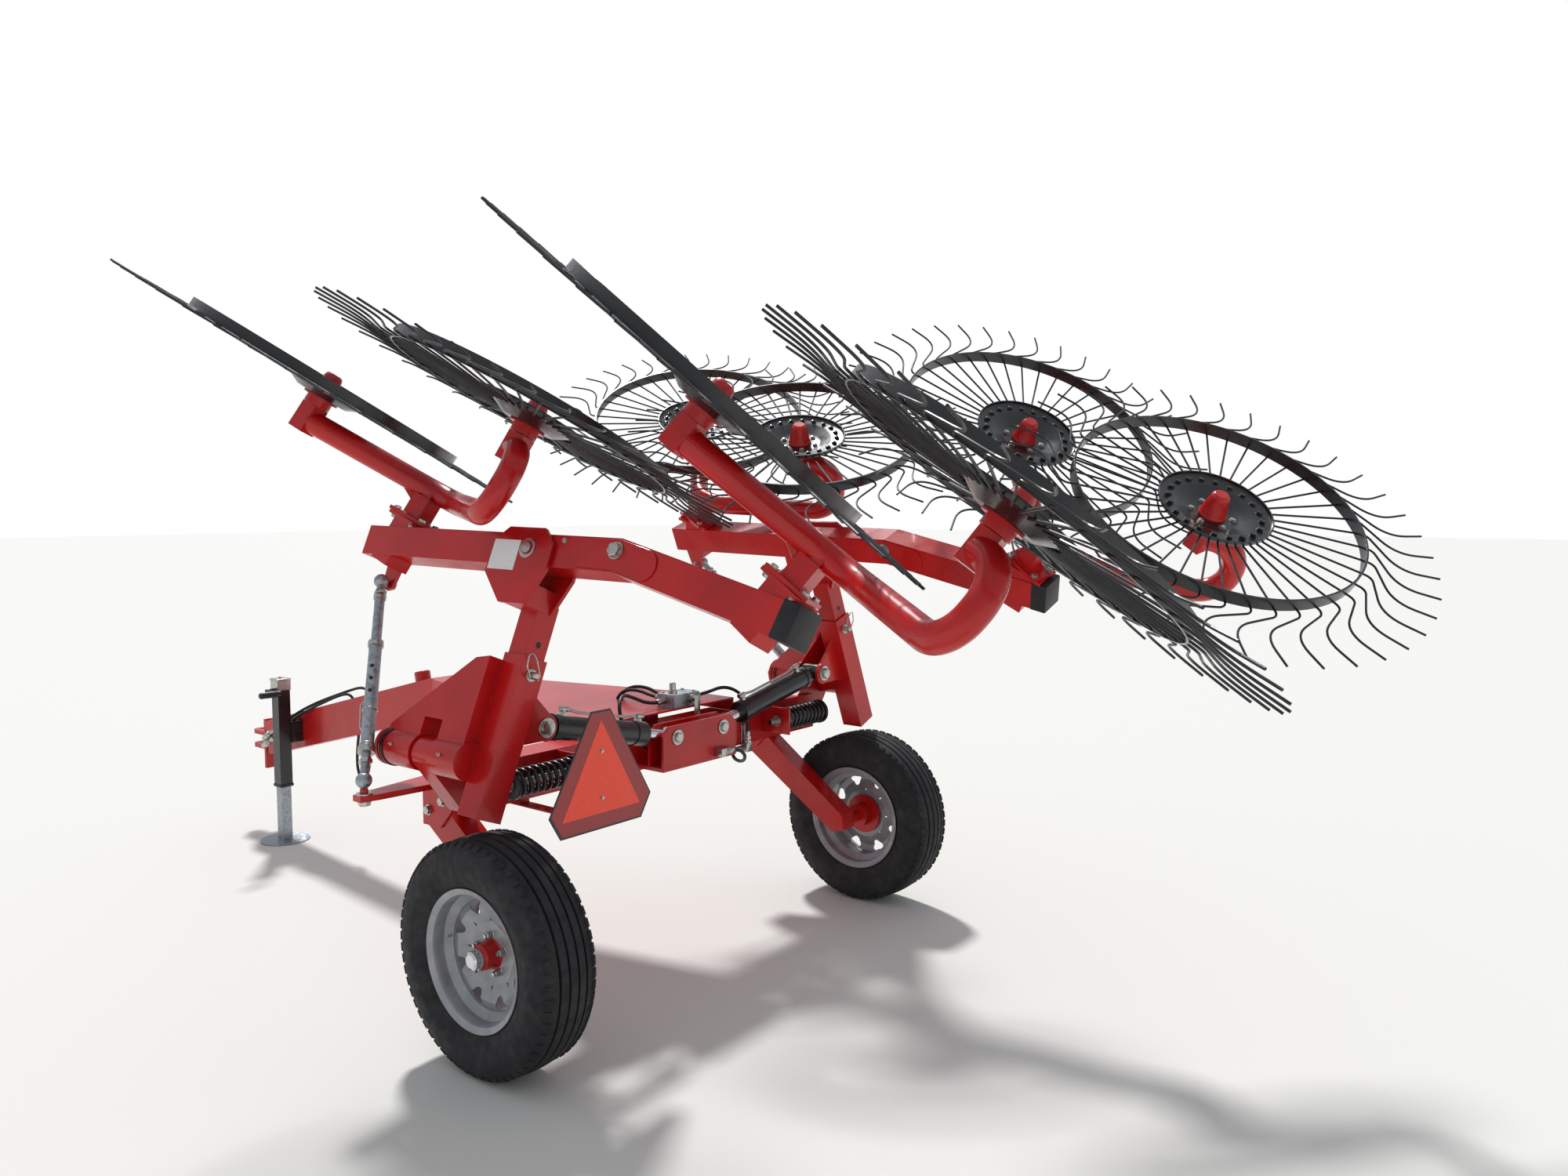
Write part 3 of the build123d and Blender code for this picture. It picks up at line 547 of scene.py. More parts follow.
def dishAndHoop(bm):
    w = rakeWheel
    inner, outer = w["hoopRadius"], w["hoopRadius"] + w["hoopThick"]
    low, high = -w["hoopBack"], w["hoopFront"]
    lathe(bm, [(inner, low), (outer, low), (outer, high), (inner, high)], w["segments"], closed=True)
    s, deep, floor, flat, rim = w["sheet"], w["dishDepth"], w["dishFloor"], w["dishFlat"], w["dishRadius"]
    front = [(w["bore"], -deep), (floor - 0.004, -deep), (floor + 0.006, -deep + 0.005),
             (flat - 0.006, -0.004), (flat + 0.004, 0), (rim - 0.011, 0), (rim - 0.006, 0.003),
             (rim - 0.004, w["lip"])]
    back = [(rim, w["lip"]), (rim, 0.001), (rim - 0.005, -s), (flat, -s), (floor + 0.004, -deep - s),
            (w["bore"], -deep - s)]
    lathe(bm, front + back, w["segments"], closed=True)


def tinedWheelMesh():
    w = rakeWheel
    values = {"Material": paints["tine"], "Count": w["tines"], "Start": 0.0, "Wire Radius": w["wireRadius"],
              "Bend Radius": w["bend"], "Bend Steps": 4, "Wire Sides": w["wireSides"]}
    tines = grown(pathMesh(tinePath(), "tinePath"), "wire", values, "tines")
    meshes = [built("dish", dishAndHoop, "black"), tines]
    for count, radius, height, paint in ((w["outerBolts"], w["outerBoltRadius"], 0.0, "black"),
                                         (w["innerBolts"], w["innerBoltRadius"], -w["dishDepth"], "zinc")):
        def bolt(bm):
            hexBolt(bm, (radius, 0, height), (0, 0, 1), w["boltSize"])

        values = {"Material": paints[paint], "Count": count, "Start": w["boltStart"]}
        meshes.append(grown(built("bolt", bolt), "copies", values, "boltRing"))
    return joined(meshes, "tinedWheel")


def hubCap(bm):
    front = -rakeWheel["dishDepth"]
    back = front - rakeWheel["sheet"]
    dome = [(0, 0.080), (0.021, 0.080), (0.0275, 0.074), (0.030, 0.066), (0.041, 0.012), (0.045, 0.006)]
    flange = [(0.045, 0), (0.057, -0.001), (0.057, -0.008), (0.042, -0.009), (0.042, -0.034), (0.016, -0.034)]
    lathe(bm, [(r, front + z) for r, z in dome] + [(r, back + z) for r, z in flange], 48)


def makeRakeWheels():
    wheelMesh, capMesh = tinedWheelMesh(), built("hubCap", hubCap)
    for side in sides:
        for number in (1, 2, 3, 4):
            base = jointFrame(f"rake_wheel_{number}_right_spin", (0, 1, 0))
            place = onSide(base @ Matrix.Rotation(radians(rakeWheel["turnEach"] * number), 4, "Z"), side)
            name = f"{number}_{side}"
            body = f"rake_wheel_{name}"
            finishPiece(f"tinedWheel_{name}", placed(wheelMesh.copy(), place), "tine", body, 40, [body])
            finishPiece(f"hubCap_{name}", placed(capMesh.copy(), place), "red", body, 30,
                        [f"rake_hub_{name}"])
    print("rake wheels made")


# Road wheels

roadWheel = {
    "radius": 0.344, "width": 0.205, "rimRadius": 0.190, "flangeRadius": 0.207, "rimWidth": 0.165,
    "grooves": (-0.047, -0.016, 0.016, 0.047), "grooveWidth": 0.008, "grooveDepth": 0.009,
    "crownEdge": 0.080, "crownDrop": 0.012, "crownWide": 0.085, "sipes": 60, "shoulderTurn": 38,
    "windows": 8, "windowAt": 0.142, "windowSize": 0.0215, "windowPoint": 0.0042, "windowSteps": 24,
    "hubHole": 0.043, "plainRing": 0.045, "discIn": 0.020, "discSheet": 0.005,
    "lugs": 5, "lugCircle": 0.057, "lugStart": 0.3,
}


def tyreSection(bm):
    t = roadWheel
    half, r, f, edge = t["width"] / 2, t["radius"], t["flangeRadius"], t["crownEdge"]
    g = t["grooveWidth"] / 2

    def tread(z):
        return r - t["crownDrop"] * (z / t["crownWide"]) ** 2

    crown = [(tread(-edge), -edge)]
    for z in t["grooves"]:
        floor = tread(z) - t["grooveDepth"]
        crown += [(tread(z - g), z - g), (floor, z - g * 0.7), (floor, z + g * 0.7), (tread(z + g), z + g)]
    crown.append((tread(edge), edge))
    wall = [(r - 0.019, 0.088), (r - 0.030, 0.0945), (r - 0.045, 0.0985), (r - 0.060, half - 0.0005),
            (f + 0.062, half), (f + 0.048, half - 0.001), (f + 0.045, half - 0.003), (f + 0.032, 0.0965),
            (f + 0.016, 0.0895), (f + 0.006, 0.0845), (f + 0.001, 0.080), (f - 0.004, 0.0775),
            (t["rimRadius"] + 0.006, 0.074)]
    lathe(bm, [(a, -b) for a, b in reversed(wall)] + crown + wall, 120, closed=True)


def shoulderBlocks(bm):
    # a raised block on each shoulder, between short cuts
    for side in (-1, 1):
        turn = Matrix.Rotation(side * radians(-roadWheel["shoulderTurn"]), 4, "Y")
        place = Matrix.Translation((roadWheel["radius"] - 0.0125, 0, side * roadWheel["crownEdge"])) @ turn
        block(bm, (0.009, 0.026, 0.020), place, 0.0015)


def tyreMesh():
    values = {"Material": paints["tyre"], "Count": roadWheel["sipes"], "Start": 0.0}
    ring = grown(built("shoulderBlock", shoulderBlocks, fix=False), "copies", values, "shoulderBlocks")
    return joined([built("tyreBody", tyreSection, "tyre"), ring], "treadedTyre")


def rimWell(bm):
    t = roadWheel
    h, r, f = t["rimWidth"] / 2, t["rimRadius"], t["flangeRadius"]
    inside = [(r, -h + 0.008), (f - 0.004, -h + 0.002), (f, -h - 0.001), (f + 0.001, -h - 0.005),
              (f - 0.004, -h - 0.007), (r - 0.004, -h + 0.002), (r - 0.006, -h + 0.030),
              (r - 0.028, -h + 0.045), (r - 0.028, h - 0.060), (r - 0.006, h - 0.042),
              (r - 0.006, h - 0.014), (r - 0.002, h - 0.006)]
    outside = [(f - 0.005, h + 0.001), (f - 0.001, h + 0.003), (f, h), (r + 0.003, h - 0.008),
               (r + 0.003, h - 0.040), (r - 0.022, h - 0.062), (r - 0.022, -h + 0.047),
               (r + 0.003, -h + 0.028)]
    lathe(bm, inside + outside, 96, closed=True)


def discHeight(radius):
    if radius < 0.095:
        return 0.008
    if radius < 0.140:
        return 0.008 + (radius - 0.095) * 0.40
    return 0.026 - (radius - 0.140) * 0.35


def sectorOutlines():
    # a window, which is a soft triangle pointing to the hub, and the edge of the disc's sector round it
    t = roadWheel
    at, wide = t["windowAt"], tan(pi / t["windows"])
    inner, outer = t["hubHole"] + t["plainRing"], t["rimRadius"] - t["discIn"]
    window, border = [], []
    for i in range(t["windowSteps"]):
        turn = 2 * pi * i / t["windowSteps"]
        x, y = cos(turn), sin(turn)
        size = t["windowSize"] + t["windowPoint"] * cos(3 * (turn - pi))
        window.append((at + size * x * 0.92, size * y * 1.12))
        # how far the ray from the window's centre runs to each edge that it meets
        reaches = [wide * at / (sign * y - wide * x) for sign in (-1, 1) if sign * y - wide * x > 1e-9]
        if x > 1e-9:
            reaches.append((outer - at) / x)
        if x < -1e-9:
            reaches.append((inner - at) / x)
        border.append((at + min(reaches) * x, min(reaches) * y))
    return window, border


def rimSector(bm):
    window, border = sectorOutlines()
    steps = len(window)

    def ring(outline, drop):
        return [bm.verts.new((x, y, discHeight((x * x + y * y) ** 0.5) - drop)) for x, y in outline]

    def strip(first, second):
        for i in range(steps):
            j = (i + 1) % steps
            bm.faces.new([first[i], second[i], second[j], first[j]])

    front = [ring(outline, 0.0) for outline in (window, border)]
    back = [ring(outline, roadWheel["discSheet"]) for outline in (window, border)]
    strip(front[0], front[1])
    strip(back[1], back[0])
    strip(front[0], back[0])


def rimCentre(bm):
    t = roadWheel
    r, outer, inner = t["rimRadius"], t["rimRadius"] - t["discIn"], t["hubHole"]
    edge = (inner + t["plainRing"]) * 1.02 / cos(pi / t["windows"])
    lathe(bm, [(inner, 0.008), (edge, 0.008), (edge, 0.003), (inner, 0.003)], 64, closed=True)
    lathe(bm, [(outer - 0.003, 0.014), (r - 0.010, 0.012), (r - 0.006, 0.004), (r - 0.006, -0.018),
               (r - 0.012, -0.018), (r - 0.012, 0.002), (outer - 0.003, 0.006)], 96, closed=True)


def rimMesh():
    values = {"Material": paints["rim"], "Count": roadWheel["windows"], "Start": pi / roadWheel["windows"]}
    disc = grown(built("rimSector", rimSector, fix=False), "copies", values, "rimDisc")
    return joined([built("rimWell", rimWell, "rim"), disc, built("rimCentre", rimCentre, "rim")], "spokedRim")


def roadHub(bm):
    nose = [(0, 0.082), (0.020, 0.082), (0.0255, 0.077), (0.0265, 0.058), (0.031, 0.052), (0.036, 0.049),
            (0.041, 0.012), (0.044, 0.0085)]
    flange = [(0.078, 0.0022), (0.078, -0.012), (0.047, -0.013), (0.047, -0.060), (0.0215, -0.060)]
    lathe(bm, nose + flange, 48)


def lugNut(bm):
    lathe(bm, [(0, 0.034), (0.006, 0.034), (0.007, 0.028), (0.0095, 0.026), (0.0105, 0.010), (0.0125, 0.008),
               (0, 0.008)], 6, Matrix.Translation((roadWheel["lugCircle"], 0, 0)))


def capAndValve(bm):
    lathe(bm, [(0, 0.0855), (0.019, 0.0855), (0.0265, 0.081), (0.0285, 0.074), (0.0285, 0.060),
               (0.0265, 0.060)], 40)
    stem = Matrix.Translation((0.165, 0.02, 0.004))
    lathe(bm, [(0.004, 0.005), (0.004, 0.030), (0.003, 0.034), (0, 0.034)], 12, stem)


def lugMeshes():
    values = {"Material": paints["zinc"], "Count": roadWheel["lugs"], "Start": roadWheel["lugStart"]}
    nuts = grown(built("lugNut", lugNut), "copies", values, "lugNuts")
    return joined([nuts, built("dustCap", capAndValve, "chrome", fix=False)], "lugs")


def makeRoadWheels():
    meshes = {"treadedTyre": (tyreMesh(), "tyre", ["tyre"]), "spokedRim": (rimMesh(), "rim", ["rim"]),
              "roadHub": (built("roadHub", roadHub), "red", ["road_hub"]),
              "lugNuts": (lugMeshes(), "zinc", [])}
    base = jointFrame("road_wheel_right_spin", (0, 1, 0))
    for side in sides:
        for name, (mesh, paint, nodes) in meshes.items():
            copy = placed(mesh.copy(), onSide(base, side))
            finishPiece(f"{name}_{side}", copy, paint, f"road_wheel_{side}", 30,
                        [f"{n}_{side}" for n in nodes])
    print("road wheels made")


# Springs, on the frame behind the cross tube

spring = {"start": 0.535, "end": 0.790, "y": 0.120, "z": 0.785, "coilRadius": 0.0385, "wire": 0.0065,
          "turns": 8.5, "stud": 0.010, "studOut": 0.070, "crossBack": 0.205, "cup": 0.012, "coilIn": 0.018,
          "bracket": (0.010, 0.104), "bracketBack": 0.05}


def makeSprings():
    s = spring
    length = s["end"] - s["start"]
    along = machineFrame @ Matrix.Translation((s["start"], s["y"], s["z"])) @ Matrix.Rotation(pi / 2, 4, "Y")

    def cups(bm):
        for z in (0.0, length - s["cup"]):
            lathe(bm, [(0, z), (0.046, z), (0.048, z + 0.002), (0.048, z + 0.010), (0.046, z + 0.012),
                       (0, z + 0.012)], 40)

    for side in sides:
        values = {"Material": paints["black"], "Turns": s["turns"], "Length": length - s["coilIn"] * 2,
                  "Coil Radius": s["coilRadius"], "Wire Radius": s["wire"]}
        coil = grown(bpy.data.meshes.new("seed"), "coil", values, "coil")
        coil.transform(Matrix.Translation((0, 0, s["coilIn"])))
        piece = placed(joined([coil, built("springCups", cups, "black")], "floatSpring"), onSide(along, side))
        finishPiece(f"floatSpring_{side}", piece, "black", "frame", 40, [f"spring_{side}"])

    def studs(bm):
        lathe(bm, [(s["stud"], -s["studOut"] + 0.002), (s["stud"], length + 0.028), (0, length + 0.030)], 20)
        for z in (-0.030, length + 0.001):
            hexBolt(bm, (0, 0, z), (0, 0, 1), s["stud"] * 2)

    dressed("springStud", "zinc", "frame", along, studs)

    def bracket(bm):
        back, front = s["y"] - s["bracketBack"], s["crossBack"]
        thick, high = s["bracket"]
        block(bm, (thick, front - back, high),
              Matrix.Translation((s["start"] - 0.008, (back + front) / 2, s["z"])), 0.0015)

    dressed("springBracket", "red", "frame", machineFrame, bracket)
    print("springs made")


# Slow vehicle sign: blank triangle with its borders

sign = {"x": -0.665, "y": -0.150, "z": 0.848, "width": 0.406, "height": 0.356, "corner": 0.070,
        "blunt": 0.038, "side": 0.042, "border": 0.048, "redShare": 0.965, "sheet": 0.003, "film": 0.0006,
        "screws": (0.055, -0.085)}


def makeSign():
    s = sign
    w, h = s["width"] / 2, s["height"] / 2
    base = machineFrame @ Matrix.Translation((s["x"], s["y"], s["z"])) @ Matrix.Rotation(pi / 2, 4, "X")
    outer = [(-s["blunt"], h), (-w, -h + s["corner"]), (-w + s["side"], -h), (w - s["side"], -h),
             (w, -h + s["corner"]), (s["blunt"], h)]
    red = [(x * s["redShare"], y * s["redShare"]) for x, y in outer]
    orange = [(0, h - 0.030), (-w + s["border"], -h + s["border"]), (w - s["border"], -h + s["border"])]

    def layers(bm):
        for index, (outline, thick, out) in enumerate((
                (outer, s["sheet"], -s["sheet"] / 2), (red, s["film"], 0.0002), (orange, s["film"], 0.0005))):
            first = len(bm.faces)
            platePiece(bm, outline, thick, Matrix.Translation((0, 0, out)))
            bm.faces.ensure_lookup_table()
            for face in bm.faces[first:]:
                face.material_index = index

    def screws(bm):
        for y in s["screws"]:
            hexBolt(bm, (0, y, 0.0008), (0, 0, 1), 0.006)

    finishPiece("vehicleSign", built("vehicleSign", layers, place=base), ["black", "signRed", "signOrange"],
                "frame", 30, ["sign"])
    finishPiece("signScrews", built("signScrews", screws, place=base), "zinc", "frame")
    print("sign made")


# Fasteners, caps, labels and fittings, built once in a right side frame and mirrored

def dressed(name, paint, body, place, build, sharp=35, only=None):
    for side in ([only] if only else sides):
        mesh = placed(built(name, build), onSide(place, side))
        rider = body if body == "frame" else f"{body}_{side}"
        finishPiece(f"{name}_{side}", mesh, paint, rider, sharp)


def peg(bm, profile, segments, start, direction):
    # turned part whose profile runs from start along direction
    lathe(bm, profile, segments, alongAxis(start, direction))


def washer(bm, centre, direction, inner, outer, thick):
    place = alongAxis(centre, direction)
    bevel = thick * 0.2
    lathe(bm, [(inner, 0), (outer, 0), (outer, thick - bevel), (outer - bevel, thick), (inner, thick)], 32,
          place, closed=True)


def squareSleeve(bm, centre, inner, outer, high, soft=0.003):
    # four walls round a square tube; inner and outer are half widths
    low, top, corner = -high / 2, high / 2, 2 ** 0.5
    profile = [(inner, low), (outer - soft, low), (outer, low + soft), (outer, top - soft),
               (outer - soft, top), (inner, top)]
    place = Matrix.Translation(centre) @ Matrix.Rotation(pi / 4, 4, "Z")
    lathe(bm, [(r * corner, z) for r, z in profile], 4, place, closed=True)


def wireLoop(points, radius, bend, name):
    values = {"Material": paints["zinc"], "Count": 1, "Start": 0.0, "Wire Radius": radius,
              "Bend Radius": bend, "Bend Steps": 6, "Wire Sides": 10}
    return grown(pathMesh(points, name), "wire", values, name)


def wirePiece(name, points, radius, bend, body, place):
    for side in sides:
        mesh = placed(wireLoop(points, radius, bend, name), onSide(place, side))
        finishPiece(f"{name}_{side}", mesh, "zinc", f"{body}_{side}")


post = {"x": -0.058, "half": 0.045, "upperHalf": 0.038, "top": 0.335, "pinDown": 0.052, "holeUp": 0.040,
        "upperBack": 0.007, "pinRadius": 0.011, "holeRadius": 0.0095, "wire": 0.0021}
ear = {"x": -0.205, "z": 0.155, "y": 0.095, "halfGap": 0.043, "plate": 0.012}
hingeTube = {"front": 0.460, "radius": 0.057, "capFace": 0.476, "nipples": (0.150, 0.390)}


def makeArmFittings():
    x, pinZ, holeZ = post["x"], post["top"] - post["pinDown"], post["top"] + post["holeUp"]

    def klikPin(bm):
        washer(bm, (x, 0, pinZ), (0, -1, 0), 0.0, 0.019, 0.003)
        peg(bm, [(0, 0), (post["pinRadius"], 0), (post["pinRadius"], 0.022), (0.008, 0.027), (0, 0.028)], 24,
            (x, 0, pinZ), (0, -1, 0))
        washer(bm, (x, post["half"] * 2, pinZ), (0, 1, 0), 0.0, 0.015, 0.012)

    dressed("klikPin", "zinc", "arm", armFrame, klikPin)
    # the ring clip, as steps out of the pin's end: across, out and up
    bail = [(x + across, out - 0.016, pinZ + up) for across, out, up in (
        (-0.014, 0, -0.012), (-0.020, 0, 0.004), (0.012, -0.004, 0.046), (0.034, -0.006, 0.060),
        (0.046, -0.006, 0.052), (0.040, -0.004, 0.018), (0.014, 0, -0.008))]
    wirePiece("klikBail", bail, post["wire"], 0.010, "arm", armFrame)

    # dark rubber discs on both faces of the post over the spare hole: painted shade standing for the hole's
    # dark inside
    def spareHolePaintedShade(bm):
        r = post["holeRadius"]
        washer(bm, (x, post["upperBack"], holeZ), (0, -1, 0), 0.0, r, 0.0008)
        peg(bm, [(0.0, 0.0), (r, 0.0), (r, 0.0008), (0.0, 0.0008)], 24,
            (x, post["upperBack"] + post["upperHalf"] * 2, holeZ), (0, 1, 0))

    dressed("spareHolePaintedShade", "hose", "arm", armFrame, spareHolePaintedShade)

    def earPin(bm):
        for way in (-1, 1):
            face = (ear["x"], ear["y"] + way * (ear["halfGap"] + ear["plate"]), ear["z"])
            washer(bm, face, (0, way, 0), 0.0, 0.031, 0.0055)
            peg(bm, [(0, 0.0055), (0.0205, 0.0055), (0.0205, 0.014), (0.018, 0.018), (0.010, 0.0195),
                     (0, 0.0195)], 28, face, (0, way, 0))

    dressed("earPin", "zinc", "arm", armFrame, earPin)

    def hingeRings(bm):
        for i in range(2):
            washer(bm, (0, hingeTube["front"] - 0.014 - 0.010 * i, 0), (0, 1, 0), hingeTube["radius"] - 0.002,
                   hingeTube["radius"] + 0.0035, 0.005)

    dressed("hingeRings", "black", "arm", armFrame, hingeRings)

    def hingeBolt(bm):
        hexBolt(bm, (0, hingeTube["capFace"], 0), (0, 1, 0), 0.020)
        hexBolt(bm, (-0.038, hingeTube["capFace"], 0.022), (0, 1, 0), 0.012)

    dressed("hingeBolt", "zinc", "frame", armFrame, hingeBolt)

    def grease(bm):
        for y in hingeTube["nipples"]:
            peg(bm, [(0, 0), (0.0055, 0), (0.0055, 0.006), (0.0035, 0.008), (0.0035, 0.012), (0, 0.014)], 12,
                (hingeTube["radius"] * 0.999, y, 0), (1, 0, 0))

    dressed("greaseNipples", "zinc", "arm", armFrame, grease)
    print("arm fittings made")


# turns an outline drawn in X and Y to one in Y and Z, with its thickness along X
facingOut = Matrix(((0, 0, 1, 0), (1, 0, 0, 0), (0, 1, 0, 0), (0, 0, 0, 1)))
head = {"outer": 0.063, "pinRadius": 0.020, "pinOut": 0.008, "label": (0.112, 0.094, 0.0008),
        "labelPlace": (0.092, -0.024)}


def makeHeadFittings():
    labelPlace = beamFrame @ Matrix.Translation((head["outer"], *head["labelPlace"])) @ facingOut

    def label(bm):
        wide, high, thick = head["label"]
        outline = [(x * wide / 2, y * high / 2) for x, y in ((-1, -1), (1, -1), (1, 1), (-1, 1))]
        platePiece(bm, outline, thick, Matrix.Translation((0, 0, thick / 2)))

    dressed("blankLabel", "labelWhite", "arm", labelPlace, label)

    def headPin(bm):
        r = head["pinRadius"]
        for way in (-1, 1):
            washer(bm, (way * head["outer"], 0, 0), (way, 0, 0), r + 0.0004, 0.031, 0.004)
        peg(bm, [(0, 0), (r - 0.003, 0), (r - 0.004, 0.002), (0, 0.0025)], 32,
            (head["outer"] + head["pinOut"], 0, 0), (1, 0, 0))

    dressed("headPin", "zinc", "arm", beamFrame, headPin)
    print("head fittings made")


beam = {"half": 0.050, "bend": -0.345, "angle": 13, "rear": 0.655,
        "sockets": {"front": 0.678, "rear": -0.868}, "tilt": 18.5, "roll": 2, "plate": 0.005,
        "plateFront": -0.200, "plateRear": 0.115, "lugY": 0.715, "lugZ": -0.128, "lugX": -0.039, "cap": 0.058}


def bentPlace(distance, up=0.0):
    # point on the rear run of the beam, measured from its bend
    turn = radians(beam["angle"])
    return (0, beam["bend"] - distance * cos(turn) - up * sin(turn), -distance * sin(turn) + up * cos(turn))


def socketPlace(y):
    past = max(0, beam["bend"] - y)
    tilt = beam["tilt"] + (beam["angle"] if past else 0)
    return beamFrame @ Matrix.Translation((0, y, -past * tan(radians(beam["angle"])))) @ Matrix.Rotation(
        radians(-beam["roll"]), 4, "Y") @ Matrix.Rotation(radians(tilt), 4, "X")


def makeBeamFittings():
    half, turn = beam["half"], radians(beam["angle"])

    def endCap(bm):
        middle = Matrix.Translation(bentPlace(beam["rear"] - beam["cap"] / 2 + 0.004))
        wide = half * 2 + 0.005
        block(bm, (wide, beam["cap"], wide), middle @ Matrix.Rotation(turn, 4, "X"), 0.004)

    dressed("beamEndCap", "hose", "beam", beamFrame, endCap)

    def bendPlate(bm):
        # sleeve plates over the bend, rounded towards the rear
        high = half - 0.004
        outline = [(beam["plateFront"], -half + 0.006), (beam["plateFront"], half - 0.006),
                   (beam["bend"], high)]
        for i in range(9):
            angle = pi / 2 - pi * i / 8
            outline.append(bentPlace(beam["plateRear"] + high * cos(angle), high * sin(angle))[1:])
        outline.append((beam["bend"], -high))
        for way in (-1, 1):
            out = Matrix.Translation((way * (half + beam["plate"] / 2), 0, 0))
            platePiece(bm, outline, beam["plate"], out @ facingOut, 0.001)

    dressed("bendPlates", "red", "beam", beamFrame, bendPlate)

    def bendBolt(bm):
        for way in (1, -1):
            hexBolt(bm, (way * (half + beam["plate"]), beam["bend"], 0.010), (way, 0, 0), 0.024)
        hexBolt(bm, (half, -0.130, 0.034), (1, 0, 0), 0.008)

    dressed("bendBolts", "zinc", "beam", beamFrame, bendBolt)

    def lugBolt(bm):
        hexBolt(bm, (beam["lugX"], beam["lugY"], beam["lugZ"]), (-1, 0, 0), 0.018)

    dressed("linkLugBolt", "zinc", "beam", beamFrame, lugBolt)
    for where, y in beam["sockets"].items():
        dressed(f"flangeBolts_{where}", "zinc", "beam", socketPlace(y), boltsUnder)
    print("beam fittings made")


def cornerBolts(bm, height, way):
    # four bolts at a socket flange's corners
    wide = socket["flangeWide"] / 2 - socket["boltInWide"]
    long = socket["flangeLong"] / 2 - socket["boltInLong"]
    for across in (-wide, wide):
        for along in (-long, long):
            hexBolt(bm, (across, along, height), (0, 0, way), socket["bolt"])


def boltsUnder(bm):
    cornerBolts(bm, socket["top"], -1)


rocker = {"level": 0.212, "tube": 0.038, "weld": 0.006}


def stemWelds(bm):
    # weld beads round the square stem, where it meets the flange and the tube
    top, bead = socket["top"] + socket["flange"] * 2 + socket["gap"], rocker["weld"]
    for height, reach in ((top, 0.0365), (rocker["level"] - rocker["tube"] + bead, 0.0375)):
        for i in range(4):
            angle = pi / 2 * (i + 1)
            middle = Matrix.Translation((reach * cos(angle), reach * sin(angle), height))
            long = reach * 2
            block(bm, (long, bead, bead) if i % 2 == 0 else (bead, long, bead), middle, 0.002)


def makeRockerFittings():
    def flangeNuts(bm):
        cornerBolts(bm, socket["top"] + socket["flange"] * 2 + socket["gap"], 1)

    for where in ("front", "rear"):
        place, body = rockerFrame(where), f"rocker_{where}"
        dressed(f"rockerBolts_{where}", "zinc", body, place, flangeNuts)
        dressed(f"stemWelds_{where}", "red", body, place, stemWelds)
    print("rocker fittings made")


toe = {"x": 1.102, "y": 0.402, "z": 0.816, "leverThick": 0.018, "leverBelow": 0.042}
# a collar's place along the link, radius and height, counted from the near ball or back from the far one
link = {"near": ((0.090, 0.0245, 0.022), (0.118, 0.0215, 0.004), (0.236, 0.0225, 0.006)),
        "far": ((0.262, 0.0235, 0.020), (0.076, 0.0195, 0.016)), "nuts": (0.055, 0.056), "bore": 0.012,
        "holes": (0.300, 0.345, 0.390), "holeRadius": 0.0065, "tube": 0.0196, "proud": 0.001}


def makeLinkFittings():
    start = Vector((toe["x"], toe["y"], toe["z"]))
    end = machineFrame.inverted() @ (beamFrame @ Vector((0, beam["lugY"], beam["lugZ"])))
    length = (end - start).length
    place = machineFrame @ alongAxis(start, end - start)

    def band(bm, z, radius, high, segments):
        bore, most = link["bore"], radius + link["proud"]
        lathe(bm, [(bore, z), (radius, z), (most, z + 0.002), (most, z + high - 0.002), (radius, z + high),
                   (bore, z + high)], segments, closed=True)

    def collars(bm):
        for z, radius, high in link["near"] + tuple((length - z, r, h) for z, r, h in link["far"]):
            band(bm, z, radius, high, 32)
        for z in (link["nuts"][0], length - link["nuts"][1]):
            band(bm, z, 0.0195, 0.014, 6)

    dressed("linkCollars", "zinc", "link", place, collars)

    # dark rubber discs on both sides of the link tube at its adjusting holes: painted shade standing for the
    # holes
    def holes(bm):
        r = link["holeRadius"]
        for z in link["holes"]:
            for way in (-1, 1):
                peg(bm, [(0, 0), (r, 0), (r, 0.0010), (0, 0.0010)], 20, (0, way * link["tube"], z),
                    (0, way, 0))

    dressed("linkHolesPaintedShade", "hose", "link", place, holes)
    handle = [(0.018, 0.004, 0.170), (0.026, 0.004, 0.185), (0.030, 0.004, 0.260), (0.022, 0.004, 0.275)]
    wirePiece("linkKeeper", handle, 0.0032, 0.006, "link", place)

    def toeBolt(bm):
        low = toe["z"] - toe["leverBelow"]
        hexBolt(bm, (toe["x"], toe["y"], low - toe["leverThick"]), (0, 0, -1), 0.020)
        washer(bm, (toe["x"], toe["y"], low), (0, 0, 1), 0.0125, 0.024, 0.005)

    dressed("toeBolt", "zinc", "frame", machineFrame, toeBolt)
    print("link fittings made")


anchor = {"x": 0.120, "z": 0.830, "faces": {-1: 0.058, 1: 0.132}}
leg = {"inner": 0.8355, "wide": 0.080, "plate": 0.016,
       "bolts": ((0.360, 0.765), (0.395, 0.700), (0.470, 0.660))}


def makeFrameFittings():
    def anchorPins(bm):
        for way, face in anchor["faces"].items():
            start = (anchor["x"], face, anchor["z"])
            washer(bm, start, (0, way, 0), 0.0, 0.027, 0.005)
            peg(bm, [(0, 0.005), (0.017, 0.005), (0.017, 0.011), (0.014, 0.014), (0, 0.0145)], 28, start,
                (0, way, 0))

    dressed("anchorPins", "zinc", "frame", machineFrame, anchorPins)

    def bracketBolts(bm):
        for y, z in leg["bolts"]:
            hexBolt(bm, (leg["inner"], y, z), (1, 0, 0), 0.016)
            hexBolt(bm, (leg["inner"] - leg["wide"] - leg["plate"], y, z), (-1, 0, 0), 0.016)

    dressed("bracketBolts", "zinc", "frame", machineFrame, bracketBolts)
    print("frame fittings made")


